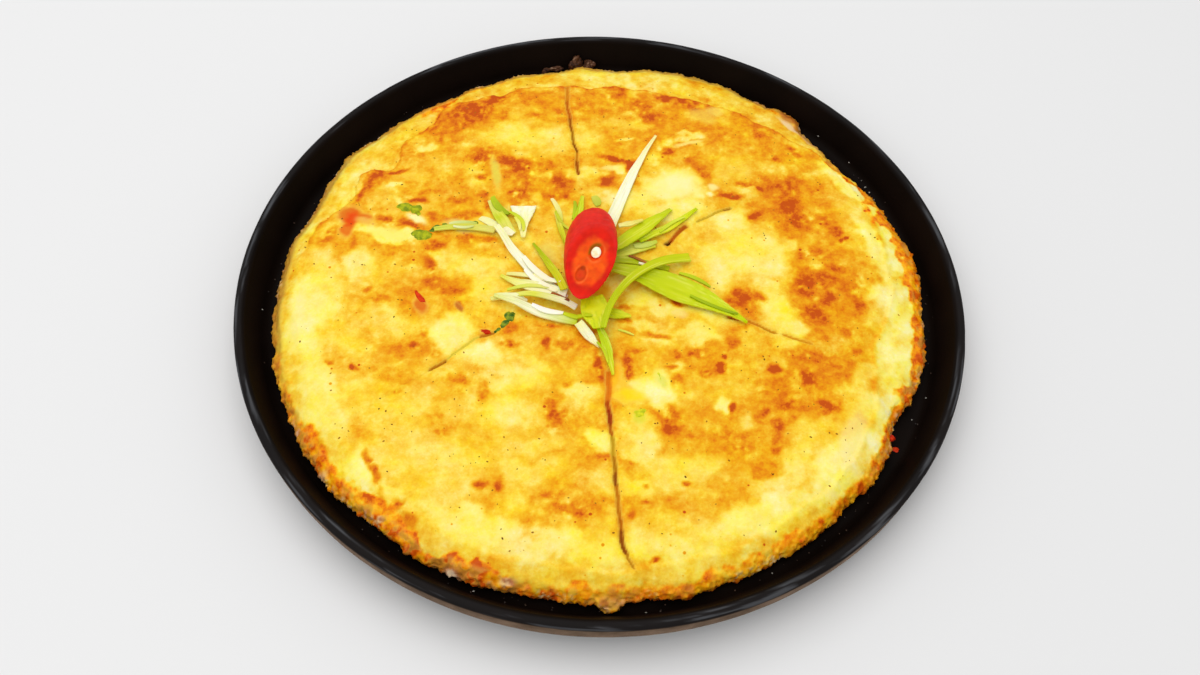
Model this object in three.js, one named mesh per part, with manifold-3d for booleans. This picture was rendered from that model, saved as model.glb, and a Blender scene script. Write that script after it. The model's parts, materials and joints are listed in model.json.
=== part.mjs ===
// A pajeon, a Korean spring-onion pancake, cut into six wedges and served whole on a round cast-iron plate,
// with a bias-cut slice of red chilli and shreds of spring onion in the middle.
// Millimetres, +Z up. The origin is the middle of the plate's underside, and -Y is the side nearest the
// diner.
import * as THREE from 'three';
import { mergeGeometries, mergeVertices } from 'three/addons/utils/BufferGeometryUtils.js';
import Module from 'manifold-3d';

// Plate
const PLATE_R = 140;
const PLATE_H = 18;
const PLATE_FOOT_R = 118;
const PLATE_BELLY = { r: 139.4, z: 10 };
const PLATE_BELLY_PULL = { r: 138, z: 2 };
const PLATE_FLOOR_R = 127;
const PLATE_FLOOR_Z = 5;
const PLATE_COVE = { r: 131.6, z: 9 };
const PLATE_COVE_PULL = { r: 130.6, z: 5 };
const LIP_INNER_R = 135.5;
const LIP_ROUND = 1.5;
const PLATE_CURVE_STEPS = 3;
const PLATE_SIDES = 72;

// Pancake
const CAKE_R = 126.2;
const CAKE_MAX_R = 130.4;
const CAKE_H = 12.4;
const SKIN_R = 113.5;
const CAKE_SIDES = 144;
const TOUCH_GAP = 0.3;

// Knife cuts: three strokes through one middle make six rays
const CUT_MIDDLE = new THREE.Vector2(-3.9, 3);
const CUT_CLOSED = 0.4;
const CUT_TIP = 1.6;
const CUT_RAYS = [
  { heading: -18.4, from: 56, to: 86, open: 0.9 },
  { heading: 34, from: 24, to: 52, open: 1.8 },
  { heading: 98.1, from: 56, to: 116, open: 1.1 },
  { heading: 156, from: 18, to: 50, open: 0.9 },
  { heading: 219.3, from: 30, to: 72, open: 1.1 },
  { heading: 278.6, from: 24, to: 114, open: 1.5 },
];
const CUT_STEP = 12;
const CUT_REACH = 190;
const CUT_WAVER = { high: 0.5, long: 19 };

// Chilli slice
const CHILLI = { x: -5.4, y: 7.6, heading: 78.5, width: 19.8, face: 34, thick: 7.5, tilt: 8 };
const CHILLI_SLANT = { along: 12, across: 4 };
const CHILLI_SWELL = 0.06;
const CHILLI_TAPER = 0.15;
const SEED = { x: 1.1, y: 4.6, length: 5.1, width: 4.1, thick: 1.5 };
const POCKETS = [{ x: 1.1, y: 4.6, long: 8.4, wide: 5.8 }, { x: -2.2, y: -6.2, long: 7, wide: 4.4 }];
const POCKET_DEEP = 2;
const POCKET_PROUD = 0.4;

// Spring onion
const SHRED_THICK = 0.7;
const SHRED_CURL = 0.4;
const LEAF_CURL = 1;
const SHRED_GAP = 0.35;
const SHRED_STEPS = 10;
const SHRED_SLOPE = 0.3;

const RAD = Math.PI / 180;

const wasm = await Module();
wasm.setup();

// The closed mesh with its shared points merged and its collapsed triangles dropped
function weld(geometry) {
  geometry.deleteAttribute('normal');
  geometry.deleteAttribute('uv');
  const merged = mergeVertices(geometry, 1e-4);
  const index = merged.index.array;
  const kept = [];
  for (let i = 0; i < index.length; i += 3) {
    const [a, b, c] = [index[i], index[i + 1], index[i + 2]];
    if (a !== b && b !== c && c !== a) kept.push(a, b, c);
  }
  merged.setIndex(kept);
  return merged;
}

function toSolid(geometry) {
  const welded = weld(geometry);
  return new wasm.Manifold(new wasm.Mesh({
    numProp: 3,
    vertProperties: Float32Array.from(welded.attributes.position.array),
    triVerts: Uint32Array.from(welded.index.array),
  }));
}

function fromSolid(solid) {
  const mesh = solid.getMesh();
  const geometry = new THREE.BufferGeometry();
  geometry.setAttribute('position', new THREE.BufferAttribute(Float32Array.from(mesh.vertProperties), 3));
  geometry.setIndex(Array.from(mesh.triVerts));
  return geometry;
}

// Moves every point of a geometry by a function that changes the vector it is given
function reshape(geometry, change) {
  const place = geometry.attributes.position;
  const point = new THREE.Vector3();
  for (let i = 0; i < place.count; i++) {
    point.fromBufferAttribute(place, i);
    change(point);
    place.setXYZ(i, point.x, point.y, point.z);
  }
  return geometry;
}

function material(color, roughness, metalness = 0) {
  return new THREE.MeshStandardMaterial({ color, roughness, metalness });
}

function named(name, geometry, finish) {
  geometry.computeVertexNormals();
  const mesh = new THREE.Mesh(geometry, finish);
  mesh.name = name;
  return mesh;
}

// Plate: one casting with a flat foot, a curved outer wall, a narrow rounded lip and a flat floor
function plateGeometry() {
  const profile = new THREE.Path();
  profile.moveTo(0, 0);
  profile.lineTo(PLATE_FOOT_R, 0);
  profile.quadraticCurveTo(PLATE_BELLY_PULL.r, PLATE_BELLY_PULL.z, PLATE_BELLY.r, PLATE_BELLY.z);
  profile.lineTo(PLATE_R, PLATE_H - LIP_ROUND);
  profile.quadraticCurveTo(PLATE_R, PLATE_H, PLATE_R - LIP_ROUND, PLATE_H);
  profile.lineTo(LIP_INNER_R + LIP_ROUND / 2, PLATE_H);
  profile.lineTo(LIP_INNER_R, PLATE_H - LIP_ROUND);
  profile.lineTo(PLATE_COVE.r, PLATE_COVE.z);
  profile.quadraticCurveTo(PLATE_COVE_PULL.r, PLATE_COVE_PULL.z, PLATE_FLOOR_R, PLATE_FLOOR_Z);
  profile.lineTo(0, PLATE_FLOOR_Z);
  const turned = new THREE.LatheGeometry(profile.getPoints(PLATE_CURVE_STEPS), PLATE_SIDES);
  return weld(turned.rotateX(Math.PI / 2));
}

// A smooth bump round the rim: degrees where it stands, millimetres high, degrees of half its width
function rimBump(angle, [at, height, half]) {
  const away = THREE.MathUtils.euclideanModulo(angle / RAD - at + 180, 360) - 180;
  return height * Math.exp(-((away / half) ** 2));
}

const sum = (list, term) => list.reduce((total, item) => total + term(item), 0);

// Where the poured batter ran out or drew back: lumps, drips and notches of the crisp edge
const EDGE_BUMPS = [
  [-158, 1.4, 16], [-137, 2.2, 8], [-114, 1.8, 8], [-87, 4.6, 2.4], [-80, -2.6, 1.6], [-74, 1.2, 4],
  [-43, -1.4, 4], [-25, -4, 5], [10, 2.2, 6], [37, -4.6, 9], [53.5, 5.6, 3.4], [72, 4.4, 13], [97, 2.8, 2.4],
  [126, -1.6, 5], [149, 2.4, 6], [164, -1.8, 5],
];

// Where the browned top skin ends short of the edge, or runs out over it
const SKIN_BUMPS = [[35, 4.5, 20], [-14, -8, 12], [147, -8, 4.5], [165, -2.5, 3], [180, 4, 12]];

function edgeRadius(angle) {
  const crags = 0.55 * Math.sin(27 * angle + 1) + 0.5 * Math.sin(41 * angle + 4);
  const reach = CAKE_R + crags + sum(EDGE_BUMPS, (bump) => rimBump(angle, bump));
  return Math.min(reach, CAKE_MAX_R);
}

function skinRadius(angle) {
  const ragged = 0.6 * Math.sin(17 * angle + 2) + 0.5 * Math.sin(37 * angle);
  return SKIN_R - 4.5 * Math.sin(angle) + ragged + sum(SKIN_BUMPS, (bump) => rimBump(angle, bump));
}

// Gentle rise and fall of the fried top, which fades out at this height above the plate
const FLAT_BELOW = 2;

function swell(x, y) {
  return 0.5 * Math.sin(x / 17 + 1.3) * Math.sin(y / 21 - 0.6) + 0.3 * Math.sin(x / 13 - y / 16 + 2.1);
}

const cakeTop = (x, y) => PLATE_FLOOR_Z + CAKE_H + swell(x, y);

// The whole pancake: a flat browned top, a small step where its skin ends, a pale shoulder and a crisp edge
function cakeGeometry() {
  const fromEdge = (inset, height) => new THREE.Vector2(CAKE_R - inset, height);
  const fromSkin = (inset, drop) => new THREE.Vector2(SKIN_R - inset, CAKE_H - drop);
  const profile = [
    new THREE.Vector2(0, TOUCH_GAP), fromEdge(3, TOUCH_GAP), fromEdge(0.9, 1.4), fromEdge(0, 3.6),
    fromEdge(1.2, 5.6), fromEdge(4, 7.8), fromEdge(8, 9.2), fromSkin(-1.4, 2.3), fromSkin(1.4, 1.1),
    fromSkin(6, 0.6), fromSkin(15, 0.2), fromSkin(27, 0), fromSkin(42, 0), fromSkin(60, 0),
    fromSkin(82, 0), new THREE.Vector2(0, CAKE_H),
  ];
  const turned = new THREE.LatheGeometry(profile, CAKE_SIDES).rotateX(Math.PI / 2);
  return reshape(turned, (point) => {
    const angle = Math.atan2(point.y, point.x);
    const radius = Math.hypot(point.x, point.y);
    const skin = skinRadius(angle);
    const outside = Math.max(0, radius - SKIN_R) / (CAKE_R - SKIN_R);
    const beyond = (edgeRadius(angle) - skin) * outside;
    const reach = radius <= SKIN_R ? radius * skin / SKIN_R : skin + beyond;
    point.x = reach * Math.cos(angle);
    point.y = reach * Math.sin(angle);
    const rising = THREE.MathUtils.smoothstep(point.z, FLAT_BELOW, CAKE_H);
    point.z += PLATE_FLOOR_Z + rising * swell(point.x, point.y);
  });
}

// A point beside one knife cut, at a distance from the middle, on its left (1) or right (-1)
function besideCut({ heading, from, to, open }, distance, side) {
  const along = new THREE.Vector2(Math.cos(heading * RAD), Math.sin(heading * RAD));
  const across = new THREE.Vector2(-along.y, along.x);
  const parted = THREE.MathUtils.smoothstep(distance, from - CUT_STEP / 2, from + CUT_STEP / 2)
    * (1 - THREE.MathUtils.smoothstep(distance, to - CUT_STEP, to));
  const gap = THREE.MathUtils.lerp(CUT_CLOSED, open, parted);
  const waver = CUT_WAVER.high * Math.sin(distance / CUT_WAVER.long + heading);
  return CUT_MIDDLE.clone().addScaledVector(along, distance).addScaledVector(across, waver + side * gap / 2);
}

// The space of one wedge, between two neighbouring cuts
function wedgeSpace(right, left) {
  const distances = [CUT_TIP];
  for (let distance = CUT_STEP; distance <= CUT_REACH; distance += CUT_STEP) distances.push(distance);
  const out = distances.map((distance) => besideCut(right, distance, 1));
  const back = distances.map((distance) => besideCut(left, distance, -1)).reverse();
  const depth = 2 * CAKE_H;
  return new THREE.ExtrudeGeometry(new THREE.Shape([...out, ...back]), { depth, bevelEnabled: false })
    .translate(0, 0, PLATE_FLOOR_Z - 2);
}

// Bits of vegetable that the batter holds and that stand a little proud of the top:
// place, length and width, and the way that the long side points
const BITS = [
  { x: -101, y: 25, length: 11, width: 7, heading: 80 },
  { x: -71, y: -13, length: 8, width: 5, heading: -50 },
  { x: -80.5, y: 31, length: 6.5, width: 4, heading: -12 },
  { x: -70, y: 18.5, length: 9, width: 5, heading: 25 },
  { x: -37.5, y: -16.8, length: 7, width: 4.5, heading: 60 },
  { x: 15.9, y: -58, length: 4.6, width: 4, heading: 90 },
  { x: 105.5, y: -62.5, length: 5, width: 4, heading: 60 },
];
const BIT_RISE = 0.8;
const BIT_DEPTH = 2;
const SHOULDER_DROP = 4.5;

function bitGeometry({ x, y, length, width, heading }) {
  const drop = Math.hypot(x, y) > SKIN_R ? SHOULDER_DROP : 0;
  return new THREE.SphereGeometry(1, 10, 6)
    .rotateX(Math.PI / 2)
    .scale(length / 2, width / 2, BIT_DEPTH)
    .rotateZ(heading * RAD)
    .translate(x, y, cakeTop(x, y) - drop + BIT_RISE - BIT_DEPTH);
}

// Heights of what already lies on the pancake, in 1 mm squares
const heap = new Map();
const square = (x, y) => `${Math.round(x)},${Math.round(y)}`;
const heapTop = (x, y) => heap.get(square(x, y)) ?? cakeTop(x, y);

function coverSquares(x, y, z) {
  for (const [dx, dy] of [[0, 0], [0.7, 0], [-0.7, 0], [0, 0.7], [0, -0.7]]) {
    const key = square(x + dx, y + dy);
    heap.set(key, Math.max(z, heap.get(key) ?? 0));
  }
}

// A thin closed sheet. place(along, across, side) gives a point of its upper (1) or lower (-1) face, with
// along from 0 to 1 and across from -1 to 1. Both faces are split into triangles alike.
function sheetGeometry(steps, lanes, place) {
  const face = (side) => reshape(new THREE.PlaneGeometry(2, 2, lanes, steps), (point) => {
    point.copy(place((point.y + 1) / 2, point.x, side));
  });
  const upper = face(1);
  const lower = face(-1);
  lower.setIndex(Array.from(lower.index.array).reverse());
  const corners = [[-1, -1, lanes], [1, -1, steps], [1, 1, lanes], [-1, 1, steps]];
  const border = corners.flatMap(([x, y, count], i) => {
    const [nextX, nextY] = corners[(i + 1) % corners.length];
    const between = (from, to, k) => THREE.MathUtils.lerp(from, to, k / count);
    return Array.from({ length: count }, (_, k) => [between(x, nextX, k), between(y, nextY, k)]);
  });
  const rim = new THREE.PlaneGeometry(border.length, 2, border.length, 1);
  reshape(rim, (point) => {
    const [x, y] = border[Math.round(point.x + border.length / 2) % border.length];
    point.copy(place((y + 1) / 2, x, Math.sign(point.y)));
  });
  return weld(mergeGeometries([upper, lower, rim]));
}

// One shred, laid over the pancake and over the shreds laid before it. Its height is the highest that what
// lies under it asks for, let down no more steeply than SHRED_SLOPE.
const BESIDE = [-1.3, -1, -0.5, 0, 0.5, 1, 1.3];

function shredGeometry({ root, heading, length, bend = 0, widths }, curl) {
  const way = new THREE.Vector2(Math.cos(heading * RAD), Math.sin(heading * RAD));
  const start = new THREE.Vector2(...root);
  const end = start.clone().addScaledVector(way, length);
  const middle = start.clone().lerp(end, 0.5).add(new THREE.Vector2(-way.y, way.x).multiplyScalar(2 * bend));
  const path = new THREE.QuadraticBezierCurve(start, middle, end);
  const girth = new THREE.SplineCurve(widths.map((width, i) => new THREE.Vector2(i, width / 2)));
  const flat = (along, across) => {
    const tangent = path.getTangent(along);
    const half = girth.getPoint(along).y;
    return path.getPoint(along).add(new THREE.Vector2(tangent.y, -tangent.x).multiplyScalar(across * half));
  };
  const cup = (across) => curl * (across ** 2 - 0.5);
  const samples = 4;
  const needed = [];
  for (let i = 0; i <= SHRED_STEPS * samples; i++) {
    const along = i / (SHRED_STEPS * samples);
    const heights = BESIDE.map((across) => {
      const { x, y } = flat(along, across);
      return heapTop(x, y) - cup(Math.min(1, Math.abs(across)));
    });
    needed.push(Math.max(...heights) + SHRED_GAP + SHRED_THICK / 2);
  }
  const atStep = (i) => Math.max(...needed.slice(Math.max(0, (i - 1) * samples), (i + 1) * samples + 1));
  const held = Array.from({ length: SHRED_STEPS + 1 }, (_, i) => atStep(i));
  const step = length / SHRED_STEPS;
  const letDown = (z, steps) => z - SHRED_SLOPE * step * Math.abs(steps);
  const height = held.map((_, i) => Math.max(...held.map((z, j) => letDown(z, i - j))));
  const rest = new THREE.SplineCurve(height.map((z, i) => new THREE.Vector2(i, z)));
  const place = (along, across, side) => {
    const { x, y } = flat(along, across);
    return new THREE.Vector3(x, y, rest.getPoint(along).y + cup(across) + side * SHRED_THICK / 2);
  };
  for (let along = 0; along <= 1; along += 0.5 / length) {
    for (const across of [-1, -0.5, 0, 0.5, 1]) {
      const { x, y, z } = place(along, across, 1);
      coverSquares(x, y, z);
    }
  }
  return sheetGeometry(SHRED_STEPS, 2, place);
}

// The shreds from the lowest to the highest. Each runs from its root, under the chilli or near it, to its
// tip. bend is how far its middle stands aside, and widths are those at its root, middle and tip.
const PALE = material(0xeef0c8, 0.45);
const GREEN = material(0xc3d21e, 0.45);
const SHREDS = {
  shred_pale_far_left: { root: [-43.5, 22.6], heading: 183, length: 24, bend: -1.5, widths: [3, 3, 2] },
  shred_green_left: { root: [-36.5, 21], heading: 121, length: 20, bend: 0.4, widths: [4, 4.6, 2.4] },
  shred_pale_flared: { root: [-32, 19.5], heading: 94, length: 16.5, widths: [1.8, 5, 10.5] },
  shred_green_thin_back: { root: [-14.6, 16.5], heading: 108, length: 17.5, widths: [1.6, 2.2, 1.2] },
  shred_green_back: { root: [-13.4, 21], heading: 80, length: 22, bend: -0.8, widths: [2.6, 3.2, 1.3] },
  shred_pale_right: { root: [2.6, 12], heading: 21, length: 19, bend: 0.6, widths: [4.6, 5.4, 3] },
  shred_green_low_right: { root: [2, 8.6], heading: -3, length: 24, bend: 1.3, widths: [3.4, 3.2, 2.4] },
  leaf_green_right: { root: [2.4, 4.6], heading: -22.6, length: 57.5, bend: 3.8, widths: [3.6, 12, 1] },
  shred_green_long_right: { root: [14, 19.4], heading: 40, length: 30, bend: -1, widths: [2.4, 3.6, 1.2] },
  shred_green_wide_right: { root: [0.4, 12.6], heading: 43.5, length: 36, bend: -1.7, widths: [4.4, 6, 1.4] },
  shred_white_long: { root: [0.4, 16.6], heading: 72.5, length: 65, bend: 2.2, widths: [5.2, 4.4, 1] },
  shred_pale_short_right: { root: [5.6, 23], heading: 25, length: 10.5, widths: [1.6, 2, 1] },
  shred_white_left: { root: [-14, -10], heading: 131, length: 44, bend: 1.4, widths: [4.6, 4.2, 2.4] },
  shred_white_broad_left: { root: [-13.4, -9], heading: 161, length: 27.5, bend: 0.9, widths: [6, 5, 1.2] },
  shred_green_spear_left: { root: [-14.2, -7.4], heading: 119.5, length: 28, bend: -1, widths: [3, 3, 0.9] },
  shred_pale_thin_left: { root: [-9.2, -15], heading: 174, length: 33, bend: -3, widths: [2.6, 2.4, 1.4] },
  shred_pale_low_left: { root: [-8.6, -20], heading: 164, length: 33.5, bend: 1.2, widths: [3.2, 3.8, 1.4] },
  shred_pale_front: { root: [-8.2, -21.4], heading: -47, length: 12.5, widths: [3.6, 3.8, 1] },
  shred_green_front: { root: [0, -22.4], heading: -74, length: 21, bend: 0.4, widths: [2.6, 3.6, 1] },
  shred_green_short_right: { root: [2.2, -14.6], heading: -8, length: 9.6, widths: [4.6, 4, 1] },
  shred_green_broad_front: { root: [-3.6, -10.6], heading: -74, length: 13.6, widths: [8.6, 11, 5] },
  shred_green_hooked: { root: [34, 13], heading: -131, length: 50, bend: -8, widths: [4.2, 3.2, 2.4] },
};
const shredFinish = (name) => (/white|pale/.test(name) ? PALE : GREEN);
const shredCurl = (name) => (/leaf/.test(name) ? LEAF_CURL : SHRED_CURL);

// Chilli: an oblique slice of the pod, an oval face with the skin sloping away behind it, two seed pockets.
// Its own frame has the long side of the face on Y.
function onFace(geometry) {
  return geometry.translate(CHILLI_SLANT.across / 2, -CHILLI_SLANT.along / 2, CHILLI.thick / 2);
}

function chilliSlice() {
  const { width, face, thick } = CHILLI;
  const oval = (point) => {
    const level = point.z / thick;
    const swollen = 1 + CHILLI_SWELL * Math.cos(Math.PI * level);
    const egg = 1 - CHILLI_TAPER / 2 + CHILLI_TAPER * point.y;
    point.x = point.x * width / 2 * swollen * egg + CHILLI_SLANT.across * level;
    point.y = point.y * face / 2 * swollen - CHILLI_SLANT.along * level;
  };
  const body = new THREE.CylinderGeometry(1, 1, thick, 30, 4).rotateX(Math.PI / 2);
  return fromSolid(POCKETS.reduce((solid, { x, y, long, wide }) => {
    const pocket = new THREE.SphereGeometry(1, 12, 8).scale(wide / 2, long / 2, POCKET_DEEP);
    return solid.subtract(toSolid(onFace(pocket).translate(x, y, POCKET_PROUD)));
  }, toSolid(reshape(body, oval))));
}

function chilliSeed() {
  const seed = new THREE.SphereGeometry(1, 12, 8).scale(SEED.width / 2, SEED.length / 2, SEED.thick / 2);
  const lies = POCKET_PROUD - POCKET_DEEP + TOUCH_GAP + SEED.thick / 2;
  return weld(onFace(seed).translate(SEED.x, SEED.y, lies));
}

// Turns the chilli's own frame to its place, and rests it on the heap
function settleChilli(parts) {
  const turn = new THREE.Matrix4().makeRotationZ((CHILLI.heading - 90) * RAD)
    .multiply(new THREE.Matrix4().makeRotationX(CHILLI.tilt * RAD));
  for (const part of parts) part.applyMatrix4(turn).translate(CHILLI.x, CHILLI.y, 0);
  const place = parts[0].attributes.position;
  const corners = parts[0].index.array;
  const [a, b, c] = [new THREE.Vector3(), new THREE.Vector3(), new THREE.Vector3()];
  const samples = 8;
  let rise = 0;
  for (let i = 0; i < corners.length; i += 3) {
    a.fromBufferAttribute(place, corners[i]);
    b.fromBufferAttribute(place, corners[i + 1]).sub(a);
    c.fromBufferAttribute(place, corners[i + 2]).sub(a);
    for (let j = 0; j <= samples; j++) {
      for (let k = 0; k <= samples - j; k++) {
        const { x, y, z } = a.clone().addScaledVector(b, j / samples).addScaledVector(c, k / samples);
        rise = Math.max(rise, heapTop(x, y) - z);
      }
    }
  }
  for (const part of parts) part.translate(0, 0, rise + SHRED_GAP);
}

const group = new THREE.Group();
group.add(named('plate', plateGeometry(), material(0x17161a, 0.5, 0.6)));

let whole = toSolid(cakeGeometry());
for (const bit of BITS) whole = whole.add(toSolid(bitGeometry(bit)));
const crust = material(0xf6c84a, 0.6);
CUT_RAYS.forEach((right, i) => {
  const left = CUT_RAYS[(i + 1) % CUT_RAYS.length];
  const wedge = whole.intersect(toSolid(wedgeSpace(right, left)));
  group.add(named(`pajeon_slice_${i + 1}`, fromSolid(wedge), crust));
});

for (const [name, shred] of Object.entries(SHREDS)) {
  group.add(named(name, shredGeometry(shred, shredCurl(name)), shredFinish(name)));
}

const [slice, seed] = [chilliSlice(), chilliSeed()];
settleChilli([slice, seed]);
group.add(named('chilli_slice', slice, material(0xe2261a, 0.3)));
group.add(named('chilli_seed', seed, material(0xf6e8c0, 0.4)));

export default group;
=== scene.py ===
# A pajeon, the Korean spring-onion pancake: fried whole, cut into six wedges with a knife and served on a
# round cast-iron plate, with a bias-cut slice of red chilli and shreds of spring onion in the middle.
# Places and sizes are in millimetres in the plate's own frame, and are turned to metres as they are used.
import json
import math
import random

import bmesh
import bpy
import numpy as np
from mathutils import Matrix, Vector, noise
from mathutils.bvhtree import BVHTree

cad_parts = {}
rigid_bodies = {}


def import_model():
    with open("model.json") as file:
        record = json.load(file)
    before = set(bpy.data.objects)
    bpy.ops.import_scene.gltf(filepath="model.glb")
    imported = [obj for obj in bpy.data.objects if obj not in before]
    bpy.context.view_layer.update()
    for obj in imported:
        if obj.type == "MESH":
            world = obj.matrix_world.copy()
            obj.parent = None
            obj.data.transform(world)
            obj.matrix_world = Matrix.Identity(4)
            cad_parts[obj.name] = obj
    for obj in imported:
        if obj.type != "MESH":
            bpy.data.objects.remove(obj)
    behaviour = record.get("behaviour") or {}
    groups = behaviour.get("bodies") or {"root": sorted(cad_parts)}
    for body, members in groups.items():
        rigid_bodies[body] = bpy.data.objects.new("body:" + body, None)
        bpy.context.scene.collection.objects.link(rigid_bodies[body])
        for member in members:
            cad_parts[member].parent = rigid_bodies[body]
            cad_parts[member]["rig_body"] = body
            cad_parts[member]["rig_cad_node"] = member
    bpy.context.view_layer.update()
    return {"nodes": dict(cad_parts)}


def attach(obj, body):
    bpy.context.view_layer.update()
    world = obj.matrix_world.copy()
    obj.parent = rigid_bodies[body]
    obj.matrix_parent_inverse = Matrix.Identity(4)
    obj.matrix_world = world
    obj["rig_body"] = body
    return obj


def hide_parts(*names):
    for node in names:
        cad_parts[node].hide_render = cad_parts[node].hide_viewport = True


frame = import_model()
MM = 0.001


# Plate. A shallow round plate, cast in one piece of iron and seasoned black with oil baked on in coats.
# It stands on a broad flat foot. Its narrow lip is rubbed bright in places, and the outside of the wall
# is painted a dull brown, a painted reflection of warm light on the black iron.
PLATE_SIDES = 360
FOOT_R = 118.0
BELLY = (139.4, 10.0)
LIP_OUTER = (140.0, 16.2)
LIP_CROWN = (138.1, 18.0)
LIP_INNER = (135.5, 16.6)
BELLY_BEND = (138, 2)
LIP_BENDS = ((140, 18), (135.9, 18))
COVE = (131.6, 9.0)
COVE_BEND_R = 130.6
FLOOR_R = 127.0
FLOOR_Z = 5.0
FLOOR_MIDDLE_R = 18.0
CURVE_STEPS = 7
CAST_WAVE = 0.12
CAST_GRAIN = 0.05


def clear_selection():
    if bpy.context.object and bpy.context.object.mode != "OBJECT":
        bpy.ops.object.mode_set(mode="OBJECT")
    bpy.ops.object.select_all(action="DESELECT")


def pick(piece):
    clear_selection()
    piece.select_set(True)
    bpy.context.view_layer.objects.active = piece
    return piece


def open_mesh():
    """Goes into edit mode with the whole mesh selected."""
    bpy.ops.object.mode_set(mode="EDIT")
    bpy.ops.mesh.select_all(action="SELECT")


def close_mesh():
    bpy.ops.object.mode_set(mode="OBJECT")


def modify(piece, kind, **settings):
    """Adds a modifier with these settings and applies it."""
    modifier = piece.modifiers.new(kind, kind)
    for name, value in settings.items():
        setattr(modifier, name, value)
    pick(piece)
    bpy.ops.object.modifier_apply(modifier=modifier.name)


def smooth(piece, degrees=None):
    """Shades a piece smooth, except over edges sharper than this."""
    pick(piece)
    if degrees:
        bpy.ops.object.shade_smooth_by_angle(angle=math.radians(degrees))
    else:
        bpy.ops.object.shade_smooth()


def places(piece):
    """Where the piece's points are, in millimetres, one row each."""
    flat = np.empty(len(piece.data.vertices) * 3)
    piece.data.vertices.foreach_get("co", flat)
    return flat.reshape(-1, 3) / MM


def bearings(points):
    """Each point's bearing from the middle of the plate, in radians, and its distance from there."""
    return np.arctan2(points[:, 1], points[:, 0]), np.hypot(points[:, 0], points[:, 1])


def outward(piece):
    """Which way the surface faces at each point."""
    flat = np.empty(len(piece.data.vertices) * 3)
    piece.data.vertex_normals.foreach_get("vector", flat)
    return flat.reshape(-1, 3)


def put(piece, points):
    piece.data.vertices.foreach_set("co", (points * MM).ravel())
    piece.data.update()


def brush(piece, name, values):
    """Keeps one number, or one colour with its strength, at each point for the material to read."""
    in_colour = values.ndim == 2
    layer = piece.data.attributes.new(name, "FLOAT_COLOR" if in_colour else "FLOAT", "POINT")
    layer.data.foreach_set("color" if in_colour else "value", values.astype(np.float32).ravel())


def ease(value, low, high):
    """0 below low and 1 above high, with a smooth rise between them."""
    part = np.clip((value - low) / (high - low), 0, 1)
    return part * part * (3 - 2 * part)


def mottle(points, size, octaves=3, seed=0):
    """Uneven values from about -1 to 1 whose largest features are this many millimetres across."""
    shift = Vector((seed * 7.3, seed * 3.1, seed * 5.7))
    return np.array([noise.fractal(Vector(point) / size + shift, 1.0, 2.0, octaves) for point in points])


def linear(colour):
    """An sRGB hex colour as linear light."""
    channels = [int(colour[i:i + 2], 16) / 255 for i in (1, 3, 5)]
    return (*[c / 12.92 if c <= 0.04045 else ((c + 0.055) / 1.055) ** 2.4 for c in channels], 1.0)


def surface(name):
    """A new material's node tree and its shader."""
    made = bpy.data.materials.new(name)
    made.use_nodes = True
    return made, made.node_tree, made.node_tree.nodes["Principled BSDF"]


def feed(node, inputs):
    """Sets a node's inputs. Each is a value, or the socket that feeds it."""
    for name, value in inputs.items():
        if isinstance(value, bpy.types.NodeSocket):
            node.id_data.links.new(value, node.inputs[name])
        else:
            node.inputs[name].default_value = value


def add(tree, kind, inputs=None, stops=(), **settings):
    """Adds a node. An input is a value or the socket that feeds it, and stops colour a ramp."""
    made = tree.nodes.new("ShaderNode" + kind)
    for name, value in settings.items():
        setattr(made, name, value)
    feed(made, inputs or {})
    for i, (at, colour) in enumerate(stops):
        element = made.color_ramp.elements[i] if i < 2 else made.color_ramp.elements.new(at)
        element.position = at
        element.color = linear(colour)
    return made


def flecks(tree, size, detail=2.0, rough=0.5):
    """Uneven values from 0 to 1, with features this many millimetres across."""
    at = add(tree, "TexCoord").outputs["Object"]
    settings = {"Vector": at, "Scale": 1 / (size * MM), "Detail": detail, "Roughness": rough}
    return add(tree, "TexNoise", settings).outputs["Fac"]


def span(tree, value, low, high, start=0.0, stop=1.0):
    """A value that runs from low to high while the one it reads runs from start to stop."""
    ends = {"From Min": start, "From Max": stop, "To Min": low, "To Max": high}
    return add(tree, "MapRange", {"Value": value, **ends}).outputs["Result"]


def blend(tree, share, below, above):
    """The colour above laid over the one below, as strongly as share says."""
    return add(tree, "Mix", {0: share, 6: below, 7: above}, data_type="RGBA").outputs[2]


def brushed(tree, name):
    """A number that was brushed onto the piece's points."""
    return add(tree, "Attribute", attribute_name=name).outputs["Fac"]


def hand_over(piece, name, material, slot, *stands_for):
    """Names a finished piece, dresses it and fixes it to the model."""
    piece.name = name
    piece.data.name = name
    piece.data.materials.clear()
    piece.data.materials.append(material)
    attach(piece, "root")
    if stands_for:
        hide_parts(*stands_for)
    return piece


def bow(start, pull, end):
    """Points of a curve from start to end, drawn towards pull, without its first point."""
    part = np.linspace(0, 1, CURVE_STEPS + 1)[1:, None]
    start, pull, end = np.array(start), np.array(pull), np.array(end)
    return list((1 - part) ** 2 * start + 2 * part * (1 - part) * pull + part ** 2 * end)


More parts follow.
